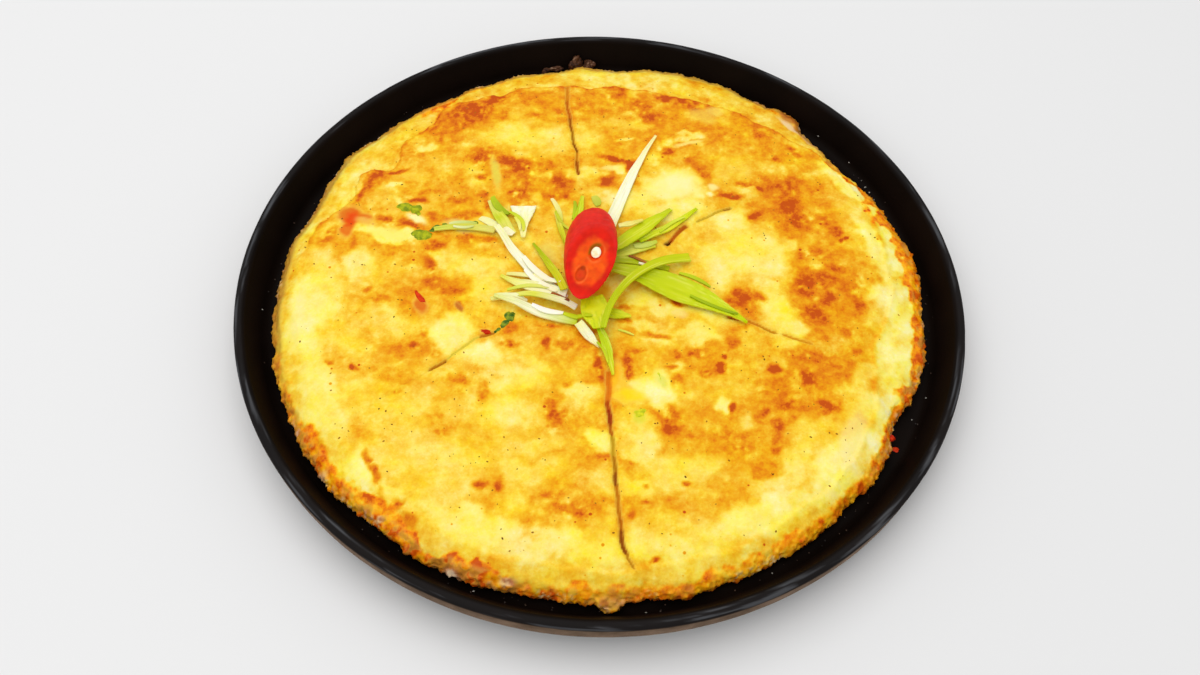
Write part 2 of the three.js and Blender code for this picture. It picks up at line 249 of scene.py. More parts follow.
def walk_rings(first, profile, sides):
    """A turned shell, drawn as by hand: one circle, extruded and resized ring by ring, then closed."""
    radius, height = first
    clear_selection()
    bpy.ops.mesh.primitive_circle_add(vertices=sides, radius=radius * MM, location=(0, 0, height * MM))
    piece = bpy.context.object
    bpy.ops.object.transform_apply(location=True, rotation=True, scale=True)
    open_mesh()
    for next_radius, next_height in profile:
        rise = (next_height - height) * MM
        bpy.ops.mesh.extrude_region_move(TRANSFORM_OT_translate={"value": (0, 0, rise)})
        grow = next_radius / radius
        bpy.ops.transform.resize(value=(grow, grow, 1), center_override=(0, 0, next_height * MM))
        radius, height = next_radius, next_height
    bpy.ops.mesh.select_all(action="SELECT")
    bpy.ops.mesh.fill_holes(sides=0)
    bpy.ops.mesh.select_all(action="SELECT")
    bpy.ops.mesh.normals_make_consistent(inside=False)
    close_mesh()
    return piece


plate_profile = bow((FOOT_R, 0), BELLY_BEND, BELLY) + [LIP_OUTER]
plate_profile += bow(LIP_OUTER, LIP_BENDS[0], LIP_CROWN) + bow(LIP_CROWN, LIP_BENDS[1], LIP_INNER)
plate_profile += [COVE] + bow(COVE, (COVE_BEND_R, FLOOR_Z), (FLOOR_R, FLOOR_Z))
plate_profile += [(radius, FLOOR_Z) for radius in (110, 80, 50, FLOOR_MIDDLE_R)]
plate = walk_rings((FOOT_R, 0), plate_profile, PLATE_SIDES)
points = places(plate)
angle, radius = bearings(points)
height = points[:, 2].copy()
uneven = CAST_WAVE * mottle(points, 34, 2, 1) + CAST_GRAIN * mottle(points, 5, 2, 2)
standing = ease(height, 0.5, 3)
points -= outward(plate) * (standing * (0.5 * CAST_WAVE + np.abs(uneven)))[:, None]
put(plate, points)
round_plate = np.stack([angle * 7, radius * 0.9, height * 0.9], axis=1)
streaks = ease(mottle(round_plate, 1.1, 3, 3), 0.05, 0.55)
brush(plate, "rubbed", ease(height, 16.2, 17.6) * ease(radius, 136.4, 137.6) * (0.05 + 0.4 * streaks))
# Painted reflection: the outer wall is coloured brown for the warm light its black iron reflects.
brush(plate, "outer_wall_reflection", ease(radius, 137.8, 139.2) * (1 - ease(height, 15.8, 17.0)))
smooth(plate, 40)

# Cast iron, oil-seasoned: black with a dull gloss, grey where the lip is rubbed, and brown on the outer wall
# as a painted reflection.
# The grain of the sand mould is 0.6 mm, and the rubbed patches are 9 mm long.
seasoned_iron, tree, shader = surface("cast_iron_oil_seasoned")
blotch = flecks(tree, 22, 4.0)
rubbed = brushed(tree, "rubbed")
black = add(tree, "ValToRGB", {"Fac": blotch}, [(0.3, "#0a0503"), (0.7, "#120a06")])
# Painted reflection: the brown tones laid on the outer wall.
brown = add(tree, "ValToRGB", {"Fac": flecks(tree, 9, 5.0, 0.7)}, [(0.3, "#58432f"), (0.75, "#8d735d")])
shine = blend(tree, rubbed, black.outputs["Color"], linear("#6c6e72"))
pits = add(tree, "Bump", {"Height": flecks(tree, 0.6, 3.0), "Strength": 0.35, "Distance": 0.12 * MM})
feed(shader, {
    "Base Color": blend(tree, brushed(tree, "outer_wall_reflection"), shine, brown.outputs["Color"]), "Metallic": rubbed,
    "Roughness": span(tree, blotch, 0.46, 0.62), "Specular IOR Level": 0.04, "Normal": pits.outputs["Normal"],
})
hand_over(plate, "iron_plate", seasoned_iron, "cast_iron", "plate")


# Pancake. Flour batter over spring onion, poured into a hot oiled pan and fried on both sides. It sets as
# one round: a flat top skin, a paler shoulder where the skin ends, and a thin crisp edge full of crags.
CAKE_SIDES = 540
CAKE_R = 126.2
CAKE_MAX_R = 130.4
CAKE_H = 12.4
SKIN_R = 113.5
UNDERSIDE_GAP = 0.3
VOXEL = 0.62
STEP_DROP = 1.4
CAD_STEP = 1.2
RIM_WIDE = 5
LUMP_HIGH = 0.7
GRAIN_HIGH = 0.52
TEETH_WIDE = 1.6
TEETH_HIGH = 0.8
CRINKLE_HIGH = 0.24
FINE_CRINKLE_HIGH = 0.1
EDGE_BUMPS = [
    (-95, 0.9, 38), (-158, 1.4, 16), (-137, 2.2, 8), (-114, 1.8, 8), (-74, 1.2, 4), (-43, -1.4, 4),
    (-25, -4, 5), (10, 2.2, 6), (37, -4.6, 9), (72, 4.4, 13), (97, 2.8, 2.4), (126, -1.6, 5), (149, 2.4, 6),
    (164, -1.8, 5),
]
EDGE_TABS = [(52.6, 5.8, 3.4), (-80.6, -1.4, 1.0), (-9, 0.9, 4)]
DRIP = [(-86.4, 3.4, 1.9)]
DRIP_TOP = 5.5
SKIN_BUMPS = [
    (35, 4.5, 20), (-14, -8, 12), (111, 2.6, 7), (126, 5.5, 7), (147.4, -8, 4), (153, 2.4, 2),
    (162, -2.4, 4), (172, 2, 5), (180, 4, 12),
]


def rim_bumps(angle, bumps, squareness=2):
    """What lumps and notches add at this angle: degrees, millimetres high, degrees of half width."""
    total = np.zeros_like(angle)
    for at_degrees, high, half in bumps:
        away = (np.degrees(angle) - at_degrees + 180) % 360 - 180
        total += high * np.exp(-np.abs(away / half) ** squareness)
    return total


def edge_radius(angle):
    crags = 0.25 * np.sin(27 * angle + 1) + 0.2 * np.sin(41 * angle + 4)
    bumps = rim_bumps(angle, EDGE_BUMPS) + rim_bumps(angle, EDGE_TABS, 4)
    return np.minimum(CAKE_R + crags + bumps, CAKE_MAX_R)


def skin_radius(angle):
    ragged = 0.6 * np.sin(17 * angle + 2) + 0.5 * np.sin(37 * angle)
    return SKIN_R - 4.5 * np.sin(angle) + ragged + rim_bumps(angle, SKIN_BUMPS)


def swell(x, y):
    """Gentle rise and fall of the top."""
    return 0.5 * np.sin(x / 17 + 1.3) * np.sin(y / 21 - 0.6) + 0.3 * np.sin(x / 13 - y / 16 + 2.1)


def skin_torn(angle):
    """How clearly the skin ends in a torn step: only round the back and the left of the back."""
    degrees = np.degrees(angle)
    return ease(degrees, 26, 44) * (1 - ease(degrees, 168, 179))


def skin_slopes(angle):
    """How clearly the skin slopes off into a pale shoulder with no step: on the right."""
    degrees = np.degrees(angle)
    return ease(degrees, -44, -30) * (1 - ease(degrees, 26, 44))


def torn_skin(points):
    """How far each point lies outside the torn edge of the skin."""
    angle, radius = bearings(points)
    return radius - skin_radius(angle) - 1.5 * mottle(points * (1, 1, 0), 8, 4, 31)


cake_profile = [
    (CAKE_R - 0.9, 1.4), (CAKE_R, 3.6), (CAKE_R - 1.2, 5.6), (CAKE_R - 4, 7.8), (CAKE_R - 8, 9.2),
    (SKIN_R + 1.4, 10.1), (SKIN_R - 1.4, 11.3), (SKIN_R - 6, 11.8), (SKIN_R - 15, 12.2), (SKIN_R - 27, 12.4),
]
cake_profile = [(r, FLOOR_Z + h) for r, h in cake_profile]
cake = walk_rings((CAKE_R - 3, FLOOR_Z + UNDERSIDE_GAP), cake_profile, CAKE_SIDES)
points = places(cake)
angle, radius = bearings(points)
skin = skin_radius(angle)
outside = np.maximum(0, radius - SKIN_R) / (CAKE_R - SKIN_R)
reach = np.where(radius <= SKIN_R, radius * skin / SKIN_R, skin + (edge_radius(angle) - skin) * outside)
low = 1 - ease(points[:, 2] - FLOOR_Z, DRIP_TOP - 2.5, DRIP_TOP)
reach += rim_bumps(angle, DRIP, 4) * low * ease(radius, CAKE_R - 6, CAKE_R - 2)
points[:, 0] = reach * np.cos(angle)
points[:, 1] = reach * np.sin(angle)
put(cake, points)
modify(cake, "REMESH", mode="VOXEL", voxel_size=VOXEL * MM)
modify(cake, "SMOOTH", factor=0.5, iterations=3)

points = places(cake)
angle, radius = bearings(points)
upper = ease(points[:, 2], 8, 15)
inset = np.maximum(edge_radius(angle) - radius, 0)
rim = np.exp(-(inset / RIM_WIDE) ** 2)
lumps = LUMP_HIGH * mottle(points, 6, 3, 11) + GRAIN_HIGH * mottle(points, 2.4, 3, 12)
teeth = TEETH_HIGH * np.exp(-(inset / TEETH_WIDE) ** 2) * mottle(points, 1.5, 2, 13)
crinkles = CRINKLE_HIGH * mottle(points, 8, 4, 21) + FINE_CRINKLE_HIGH * mottle(points, 2, 2, 22)
relief = rim * lumps + teeth + (1 - rim) * upper * crinkles
points += outward(cake) * relief[:, None]
points[:, 2] += ease(points[:, 2] - FLOOR_Z, 2, CAKE_H) * swell(points[:, 0], points[:, 1])
past_skin = radius - skin_radius(angle)
torn_part = skin_torn(angle)
step = torn_part * STEP_DROP * ease(torn_skin(points), -0.5, 0.5)
slope = (1 - torn_part) * CAD_STEP * ease(past_skin, -6, 6)
points[:, 2] += upper * (CAD_STEP * ease(past_skin, -1.4, 1.4) - step - slope)
points[:, 2] = np.maximum(points[:, 2], FLOOR_Z + UNDERSIDE_GAP)
far = bearings(points)[1]
points[:, :2] *= (np.minimum(far, CAKE_MAX_R + 0.4) / far)[:, None]
put(cake, points)

# Batter, pan-fried in oil: matt golden yellow that runs to orange-brown where it lay on the pan, and cream
# where onion lies under it. Skin grain is 0.9 mm, the freckles 2.4 mm. The crisp edge is glossy with oil, and
# its colour is painted up to a quarter lighter there as painted light.
fried_batter, tree, shader = surface("egg_batter_pan_fried")
at = add(tree, "TexCoord").outputs["Object"]
browned = brushed(tree, "browned")
stains_and_painted_light = add(tree, "Attribute", attribute_name="stains_and_painted_light")
oiled = brushed(tree, "oiled")
freckle = flecks(tree, 2.4, 4.0, 0.65)
grain = flecks(tree, 0.9, 3.0)
spots = span(tree, freckle, -0.27, 0.27)
both = add(tree, "Math", {0: spots, 1: span(tree, grain, -0.2, 0.2)}, operation="ADD")
uneven = span(tree, browned, 0.42, 0.8, 0.2, 0.6)
speckle = add(tree, "Math", {0: both.outputs[0], 1: uneven}, operation="MULTIPLY")
cells = add(tree, "TexVoronoi", {"Vector": at, "Scale": 1 / (4.6 * MM)})
some = add(tree, "SeparateColor", {"Color": cells.outputs["Color"]})
wide = span(tree, some.outputs["Red"], 0.0, 0.16, 0.45)
near = add(tree, "Math", {0: wide, 1: cells.outputs["Distance"]}, operation="SUBTRACT")
speck = span(tree, near.outputs[0], 0.0, 0.5, 0.0, 0.06)
spotty = add(tree, "Math", {0: speckle.outputs[0], 1: speck}, operation="ADD")
fried = add(tree, "Math", {0: browned, 1: spotty.outputs[0]}, operation="ADD", use_clamp=True)
crust = add(tree, "ValToRGB", {"Fac": fried.outputs[0]}, [
    (0.0, "#fdf390"), (0.12, "#fcec78"), (0.26, "#f9e15a"), (0.4, "#f6cd38"), (0.53, "#f1ba24"),
    (0.64, "#eda712"), (0.75, "#e7920a"), (0.85, "#e07e08"), (0.94, "#d66a08"), (1.0, "#c45008"),
])
butter = span(tree, flecks(tree, 13, 6.0, 0.72), 0.2, 2.0, 0.3, 0.7)
cream = add(tree, "CombineXYZ", {"X": 1.0, "Y": 1.0, "Z": butter})
hue = add(tree, "VectorMath", {0: crust.outputs["Color"], 1: cream.outputs["Vector"]}, operation="MULTIPLY")
# Painted light: the crisp edge's colour is made up to 1.24 times lighter.
rim_painted_light = span(tree, oiled, 1.0, 1.24)
rim_lit_colour = add(tree, "VectorMath", {0: hue.outputs["Vector"], "Scale": rim_painted_light}, operation="SCALE")
tinted = blend(tree, stains_and_painted_light.outputs["Alpha"], rim_lit_colour.outputs["Vector"], stains_and_painted_light.outputs["Color"])
inner = add(tree, "ValToRGB", {"Fac": freckle}, [(0.35, "#a8701c"), (0.65, "#e9c052")])
rough = add(tree, "Math", {0: freckle, 1: grain}, operation="ADD")
skin_bump = add(tree, "Bump", {"Height": rough.outputs[0], "Strength": 0.4, "Distance": 0.25 * MM})
feed(shader, {
    "Base Color": blend(tree, brushed(tree, "crumb"), tinted, inner.outputs["Color"]),
    "Roughness": span(tree, oiled, 0.58, 0.2), "Specular IOR Level": 0.08,
    "Normal": skin_bump.outputs["Normal"],
    "Subsurface Weight": 0.1, "Subsurface Radius": (1.0, 0.6, 0.2), "Subsurface Scale": 1.5 * MM,
})


# Browning. Where the batter lay on the hottest oil it is orange-brown, and where vegetable or a bubble held
# it off the pan it is pale. Each patch: x, y, length, width, how brown it is, and the heading of its length
# where that isn't 0.
TOASTED = [
    (-26, 97, 46, 17, 0.6), (-61, 86, 26, 18, 0.66, 40), (14, 97, 56, 20, 0.64, -3),
    (52, 80, 36, 22, 0.6, -30), (68, 78, 34, 10, 0.62, -42), (-78, 66, 22, 22, 0.52, 45),
    (-40, 56, 40, 20, 0.66, -20), (-20, 50, 18, 26, 0.66), (-66, 38, 46, 26, 0.58),
    (-98, 34, 14, 30, 0.5, 20), (-60, 18, 50, 16, 0.55), (-104, 14, 12, 22, 0.55), (77, 45, 24, 40, 0.78),
    (90, 32, 18, 28, 0.62, 10), (86, 6, 34, 32, 0.7), (84, -16, 34, 18, 0.71), (80, -36, 44, 22, 0.66),
    (68, -54, 44, 18, 0.6), (38, -62, 40, 20, 0.58, -8), (60, -73, 26, 14, 0.62, 20),
    (40, 62, 26, 18, 0.6, -30), (6, 78, 36, 22, 0.58), (0, 58, 22, 18, 0.64), (54, -2, 12, 18, 0.6),
    (20, -18, 36, 18, 0.5), (38, -34, 32, 16, 0.6), (2, -38, 30, 22, 0.55), (-24, -26, 34, 16, 0.53, 5),
    (-60, -5, 30, 16, 0.62, -10), (-84, -11, 26, 10, 0.55), (-70, -36, 34, 14, 0.55, 5),
    (-96, -44, 16, 10, 0.48), (-46, -50, 20, 12, 0.52), (-12, -60, 26, 20, 0.56, -40),
    (-8, -80, 36, 14, 0.5), (-12, -96, 44, 15, 0.62), (30, -90, 56, 15, 0.55, 8), (-52, -69, 20, 8, 0.44),
    (-38, -89, 18, 10, 0.56), (2, -78, 26, 6, 0.55), (-82, -72, 16, 10, 0.5, -50), (94, -22, 16, 24, 0.56),
    (-66, 62, 22, 12, 0.5), (54, -14, 13, 18, 0.74), (-74, 88, 14, 10, 0.62, 50), (-98, 26, 14, 18, 0.6),
    (26, 76, 18, 16, 0.64), (60, -70, 30, 16, 0.59), (-56, 103, 18, 6, 0.66, 30),
    (-79, 89, 20, 5, 0.62, 46), (72, -64, 12, 8, 0.7), (26, -50, 7, 14, 0.66), (-66, 74, 16, 10, 0.58),
    (-44, 104, 30, 7, 0.58, 24), (100, 0, 10, 16, 0.8), (76, -44, 20, 16, 0.7), (2, -58, 10, 30, 0.56),
    (22, -64, 14, 20, 0.66), (-72, -12, 10, 14, 0.6), (14, 91, 14, 18, 0.84), (-70, 12, 12, 26, 0.62),
    (-88, 18, 24, 10, 0.6, -30), (22, 62, 14, 9, 0.58), (-72, -46, 14, 20, 0.6), (54, 10, 10, 18, 0.5),
    (-62, 76, 24, 9, 0.76, 10), (66, 56, 14, 14, 0.78), (-36, 39, 12, 8, 0.8), (4, -100, 16, 12, 0.58),
    (40, 80, 22, 12, 0.68), (-10, 106, 22, 8, 0.64), (-18, 88, 14, 8, 0.7), (-72, 49, 14, 8, 0.66),
    (-27, 36, 14, 8, 0.72), (54, -17, 12, 8, 0.68), (15, 103, 14, 7, 0.76),
]
PALE = [
    (-32, 76, 46, 11, 0.27), (-75, 67, 7, 4, 0.14), (-84, 74, 8, 16, 0.34, -40), (-86, 43, 8, 4, 0.1),
    (-86, 19, 22, 5, 0.05, -12), (-104, 41, 5, 9, 0.05, -20), (-48, 7, 24, 10, 0.26),
    (-27, 42, 9, 6, 0.34, -50), (-54, 49, 6, 10, 0.34), (-96, 56, 12, 5, 0.2, 40), (-56, 56, 8, 5, 0.36),
    (-42, 26, 12, 8, 0.3), (28, 53, 22, 15, 0.03, 10), (30, 38, 26, 12, 0.14, 10), (8, 75, 14, 3, 0.2, 30),
    (4, 60, 6, 4, 0.1, 30), (52, 60, 22, 12, 0.4), (43, 52, 5, 4, 0.06), (52, 34, 18, 14, 0.12, 20),
    (58, 17, 32, 26, 0.2, 30), (45, 14, 14, 18, 0.22), (74, 26, 8, 4, 0.3, 20), (5, 88, 22, 7, 0.4),
    (34, 78, 12, 3, 0.2, 20), (43, -12, 20, 11, 0.2, -20), (66, -10, 16, 14, 0.2, -20),
    (66, 0, 10, 10, 0.26), (24, -10, 14, 7, 0.2), (33, -20, 20, 6, 0.22), (20, -48, 17, 13, 0.06),
    (17, -70, 14, 18, 0.2), (44, -52, 6, 6, 0.06), (0, -68, 9, 9, 0.06), (-4, -49, 14, 8, 0.24),
    (34, -79, 30, 8, 0.34), (30, -38, 8, 6, 0.26), (-56, -26, 16, 15, 0.1), (-44, -36, 14, 11, 0.08, 30),
    (-78, -24, 24, 8, 0.34), (-28, -44, 20, 8, 0.24), (-32, -60, 18, 12, 0.26), (-60, -80, 40, 12, 0.33),
    (-22, -74, 20, 8, 0.3), (-72, -58, 26, 10, 0.38), (-82, -86, 8, 14, 0.08, 35),
    (-69, -92, 5, 9, 0.22, 35), (-100, -58, 16, 36, 0.18, 24), (-110, -20, 15, 56, 0.17),
    (-108, -38, 9, 30, 0.14, 6), (-4, -110, 90, 11, 0.22), (-44, -102, 34, 10, 0.2, -18),
    (58, -96, 44, 12, 0.13, 28), (86, -74, 28, 12, 0.1, 48), (76, -66, 14, 12, 0.36, 20),
    (-62, 4, 5, 8, 0.3), (-14, -10, 14, 6, 0.3), (98, -48, 14, 14, 0.24), (-95, -30, 14, 14, 0.36),
    (-95, 4, 12, 14, 0.2), (-110, 4, 12, 16, 0.26), (-32, 20, 8, 18, 0.24, 40), (-44, -8, 10, 16, 0.28),
    (-56, -34, 14, 10, 0.16), (-30, -49, 30, 8, 0.26), (-52, -57, 10, 10, 0.32), (-66, -70, 18, 9, 0.3),
    (-22, -84, 22, 10, 0.3), (10, -89, 26, 9, 0.26), (28, -85, 14, 8, 0.28), (55, -59, 7, 7, 0.3),
    (69, -20, 14, 10, 0.18), (40, -25, 12, 7, 0.2), (14, -6, 14, 9, 0.24), (-9, 56, 12, 10, 0.2),
    (94, 66, 10, 10, 0.3), (100, -38, 10, 8, 0.3), (-46, -90, 22, 12, 0.34), (64, -82, 20, 8, 0.24, 20),
    (10, 104, 7, 9, 0.4), (-38, 66, 8, 9, 0.4), (18, -22, 22, 7, 0.2, -20), (-43, -42, 9, 9, 0.16),
    (-28, -95, 9, 14, 0.3), (70, -73, 12, 8, 0.26), (94, 68, 8, 12, 0.14), (-82, 52, 12, 8, 0.42),
    (-70, 32, 10, 14, 0.46), (84, -58, 10, 7, 0.34), (99, 56, 26, 6, 0.1, -64), (107, 28, 28, 7, 0.08, -75),
    (111, 5, 20, 8, 0.12, -88), (-88, 60, 9, 14, 0.26, -30), (-36, 63, 9, 8, 0.32), (-36, 22, 14, 12, 0.22),
    (92, 71, 8, 8, 0.2), (4, -104, 8, 12, 0.34), (12, 44, 18, 12, 0.16), (66, -28, 8, 22, 0.34),
    (-84, -50, 9, 9, 0.3), (-46, 24, 26, 10, 0.34),
]
BROWNED = [
    (-64, 83, 10, 10, 0.84, 40), (-58, 90, 14, 11, 0.92, 10), (-50, 97, 11, 5, 0.76, 10),
    (-47, 88, 7, 8, 0.68), (-23, 91, 3.4, 3.4, 0.86), (-31, 88, 9, 4, 0.68), (-12, 95, 8, 7, 0.7),
    (-32, 97, 14, 6, 0.66), (-72, 79, 8, 6, 0.68, 20), (-79, 76, 7, 4, 0.62), (-80, 63, 12, 4, 0.62),
    (-70, 72, 3, 5, 0.7), (-51, 63, 13, 9, 0.82, 10), (-42, 61, 10, 7, 0.84, -30), (-36, 57, 10, 10, 0.86),
    (-32, 50, 4, 14, 0.76), (-35, 44, 8, 6, 0.92, 20), (-25, 59, 10, 7, 0.74), (-18, 51, 9, 8, 0.82),
    (-19, 44, 9, 6, 0.8), (-52, 52, 5, 4, 0.84), (-50, 39, 14, 3.4, 0.78, -68), (-60, 38, 7, 5, 0.78),
    (-56, 30, 12, 4, 0.78, 5), (-67, 29, 8, 4, 0.78), (-77, 37, 9, 3.4, 0.86), (-72, 42, 9, 3, 0.7, 10),
    (-61, 50, 4, 7, 0.7, 10), (-94, 48, 9, 8, 0.76, 30), (-87, 53, 8, 2.6, 0.76, 35),
    (-101, 38, 2.4, 9, 0.7, -30), (-84, 26, 22, 4, 0.78, -12), (-78, 23, 10, 2.4, 0.92, -18),
    (-109, 16, 4, 12, 0.74, -16), (-66, 13, 8, 6, 0.8, 20), (-54, 19, 9, 6, 0.76), (-45, 19, 8, 4, 0.76),
    (-67, 4, 5, 7, 0.84), (-82, 10, 9, 4, 0.6), (-99, 15, 4, 8, 0.6), (24, 103, 15, 5, 0.8, -4),
    (34, 100, 8, 8, 0.82, -30), (13, 97, 8, 8, 0.8), (16, 91, 6, 6, 0.84), (2, 102, 12, 5, 0.7),
    (26, 71, 6, 5, 0.88), (35, 66, 6, 5, 0.72), (40, 60, 11, 5, 0.78, -55), (5, 65, 15, 3.4, 1.02, -14),
    (9, 61, 4, 5, 1.08), (0, 52, 6, 5, 0.96), (12, 53, 4, 3, 0.7), (51, 48, 11, 4, 0.94, -12),
    (49, 48.4, 4, 2, 1.1), (53, 46.6, 3, 2, 1.1), (57, 53, 8, 3, 0.8), (63, 52, 3, 2, 0.92),
    (46, 83, 9, 7, 0.68), (64, 84, 12, 5, 0.72, -20), (79, 75, 10, 3.4, 0.78, -42), (70, 70, 3, 3, 0.84),
    (76, 54, 10, 11, 0.84), (74, 44, 10, 12, 0.92), (78, 36, 7, 10, 0.84), (62, 38, 6, 5, 0.94, 20),
    (60, 44, 6, 4, 0.74), (89, 36, 8, 6, 0.78, -20), (93, 31, 5, 4, 0.84), (94, 27, 2, 2, 1.1),
    (96.4, 27.6, 2, 2, 1.1), (82, 20, 12, 6, 0.72), (92, 13, 8, 5, 0.75, -10), (85, 6, 18, 9, 0.82),
    (78, 2, 8, 8, 0.88), (82, -10, 12, 10, 0.9), (88, -3, 9, 6, 0.88), (100, -4, 5, 10, 0.82),
    (94, -17, 8, 5, 0.68), (97, -27, 5, 4, 0.76), (54, -5, 9, 12, 0.88, 20), (60, -4, 6, 8, 0.8),
    (30, -8, 4, 3, 1.0, -30), (22, -23, 16, 2.6, 0.68), (10, -18, 6, 4, 0.72), (9, -10, 8, 2.6, 0.78),
    (36, -31, 10, 4, 0.84), (29.6, -31, 2.6, 5, 0.86), (15, -30, 6, 3, 0.78), (27, -38, 5, 2.4, 0.82),
    (30, -44, 6, 4, 0.72, 20), (50, -27, 6, 7, 0.82, -20), (46.4, -33, 2.4, 2.4, 1.1),
    (45.4, -37, 5, 3.4, 1.1), (40.6, -40, 5, 4, 0.9), (65, -36, 6, 5.4, 0.98), (78, -30, 22, 6, 0.76),
    (90, -34, 10, 6, 0.76), (78, -40, 7, 7, 0.92), (61, -48, 4, 3, 0.84), (71, -52, 12, 5, 0.8),
    (84, -51, 9, 6, 0.86), (61, -57, 8, 5, 0.76, 30), (49, -53, 3.4, 3.4, 0.94), (27, -57, 6, 8, 0.82),
    (27, -63, 8, 6, 0.86), (37, -67, 12, 3, 0.72, -8), (47, -66, 10, 4, 0.8, -20), (52, -70, 8, 4, 0.76),
    (66, -61, 4, 6, 0.84), (64, -69, 4, 8, 0.78, -20), (61, -75, 8, 4, 0.68),
    (0.4, -38.4, 13, 3.6, 0.98, -68), (10.6, -38, 3.2, 13, 0.98), (2, -77, 8, 5, 0.76),
    (12, -78, 6, 2.6, 0.66), (-2, -98, 10, 6, 0.76), (14, -99, 4, 4, 0.76), (18, -94, 3, 2, 0.82),
    (18, -87, 2.4, 3, 0.76), (33, -85, 2.4, 1.8, 0.8), (22.4, -114, 2.6, 2.2, 0.86), (-8, -98, 10, 5, 0.76),
    (-13, -93, 8, 4, 0.7), (-39, -89, 5, 5, 0.8), (-32, -89, 4, 5.4, 0.78), (-17, -57, 6, 3.4, 0.8),
    (-14, -62, 10, 6, 0.84, -45), (-10, -59, 4, 3, 0.7), (-20, -30, 3, 6, 0.94), (-33, -32, 6, 3, 0.78),
    (-32, -24, 8, 5, 0.76, 20), (-10, -29, 14, 4, 0.76, 10), (-6, -23, 9, 5, 0.76), (-18, -22, 8, 3, 0.72),
    (-65, -3, 7, 5, 0.82), (-58, -7, 12, 5, 0.78, -10), (-53.4, -15, 5, 2.2, 1.04, -52),
    (-89, -9, 4, 3, 0.76), (-84, -13, 8, 3, 0.62), (-66, -28, 4, 6, 0.66, 30), (-69.6, -34.4, 5, 4, 0.9),
    (-76, -36, 8, 4, 0.66), (-62, -37, 8, 4, 0.64), (-89, -43.4, 3, 2.6, 0.9), (-99, -43, 5, 3, 0.66),
    (-50, -48, 7, 4, 0.68), (-42, -52, 4, 9, 0.66), (-73, -54.6, 4, 2.4, 0.74), (-52, -69, 8, 3, 0.7),
    (-76.6, -85, 13, 2.6, 0.78, -54), (-66, -98, 6, 4.6, 0.8), (-61, -104.4, 5, 5, 0.74),
    (-69, -100, 6, 3, 0.76, 30), (-97, -79, 12, 5, 0.76, -58), (-58, -62, 8, 2.6, 0.56),
    (-10, -47, 3, 3, 0.72),
]
BASE_BROWN = 0.45
PATCHY_WIDE = 9
BROKEN_WIDE = 2.8
SWAY_WIDE = 11
# How brown the shoulder is round the back, at each bearing in degrees.
SHOULDER_BROWN = [
    (26, 0.42), (54, 0.46), (66, 0.5), (78, 0.42), (88, 0.28), (94, 0.34), (102, 0.48), (126, 0.52),
    (138, 0.47), (148, 0.36), (162, 0.33), (174, 0.3),
]
SLOPE_BROWN = 0.14
CRISP_BROWN = 0.74
UNDERSIDE_BROWN = 0.95
STEP_LINE_BROWN_AND_SHADE = 0.24
SKIN_EDGE_BROWN = 0.2
# The crisp edge: at each bearing in degrees, how many millimetres wide it is and how much browner than usual.
CRISP_EDGE = [
    (-180, 2.6, 0.02), (-166, 2.6, 0.05), (-152, 3.6, 0.08), (-143, 6.0, 0.1), (-136, 5.0, 0.04),
    (-128, 6.0, 0.1), (-118, 5.0, 0.16), (-112, 6.0, 0.22), (-103, 3.2, 0.16), (-98, 2.2, 0.0),
    (-92, 4.4, 0.08), (-84, 4.0, 0.06), (-79, 2.4, 0.0), (-73, 3.8, 0.06), (-66, 3.2, -0.02),
    (-58, 5.0, 0.04), (-50, 3.6, 0.0), (-42, 2.4, 0.0), (-27, 4.4, 0.12), (-20, 6.0, 0.12),
    (-12, 5.4, 0.14), (2, 5.8, 0.12), (12, 7.6, 0.1), (20, 8.6, 0.1), (29, 6.0, 0.08), (46, 3.4, 0.0),
    (53, 7.0, 0.12), (60, 3.6, 0.02), (68, 2.4, -0.1), (90, 2.0, -0.16), (110, 2.0, -0.12),
    (120, 6.4, 0.04), (129, 8.0, 0.08), (135, 3.0, -0.04), (148, 2.4, -0.1), (162, 2.2, -0.04),
    (180, 2.6, 0.02),
]


def in_patch(x, y, softness, px, py, length, width, heading=0):
    """1 inside an oval patch and 0 outside, with an edge this soft."""
    turn = math.radians(heading)
    along = ((x - px) * math.cos(turn) + (y - py) * math.sin(turn)) / (length / 2)
    across = ((y - py) * math.cos(turn) - (x - px) * math.sin(turn)) / (width / 2)
    return 1 - ease(np.hypot(along, across), 1 - softness, 1 + softness)


def crisp_edge(angle):
    """How wide the crisp edge is at this angle, and how much browner than usual."""
    bearing, wide, browner = zip(*CRISP_EDGE)
    return np.interp(np.degrees(angle), bearing, wide), np.interp(np.degrees(angle), bearing, browner)


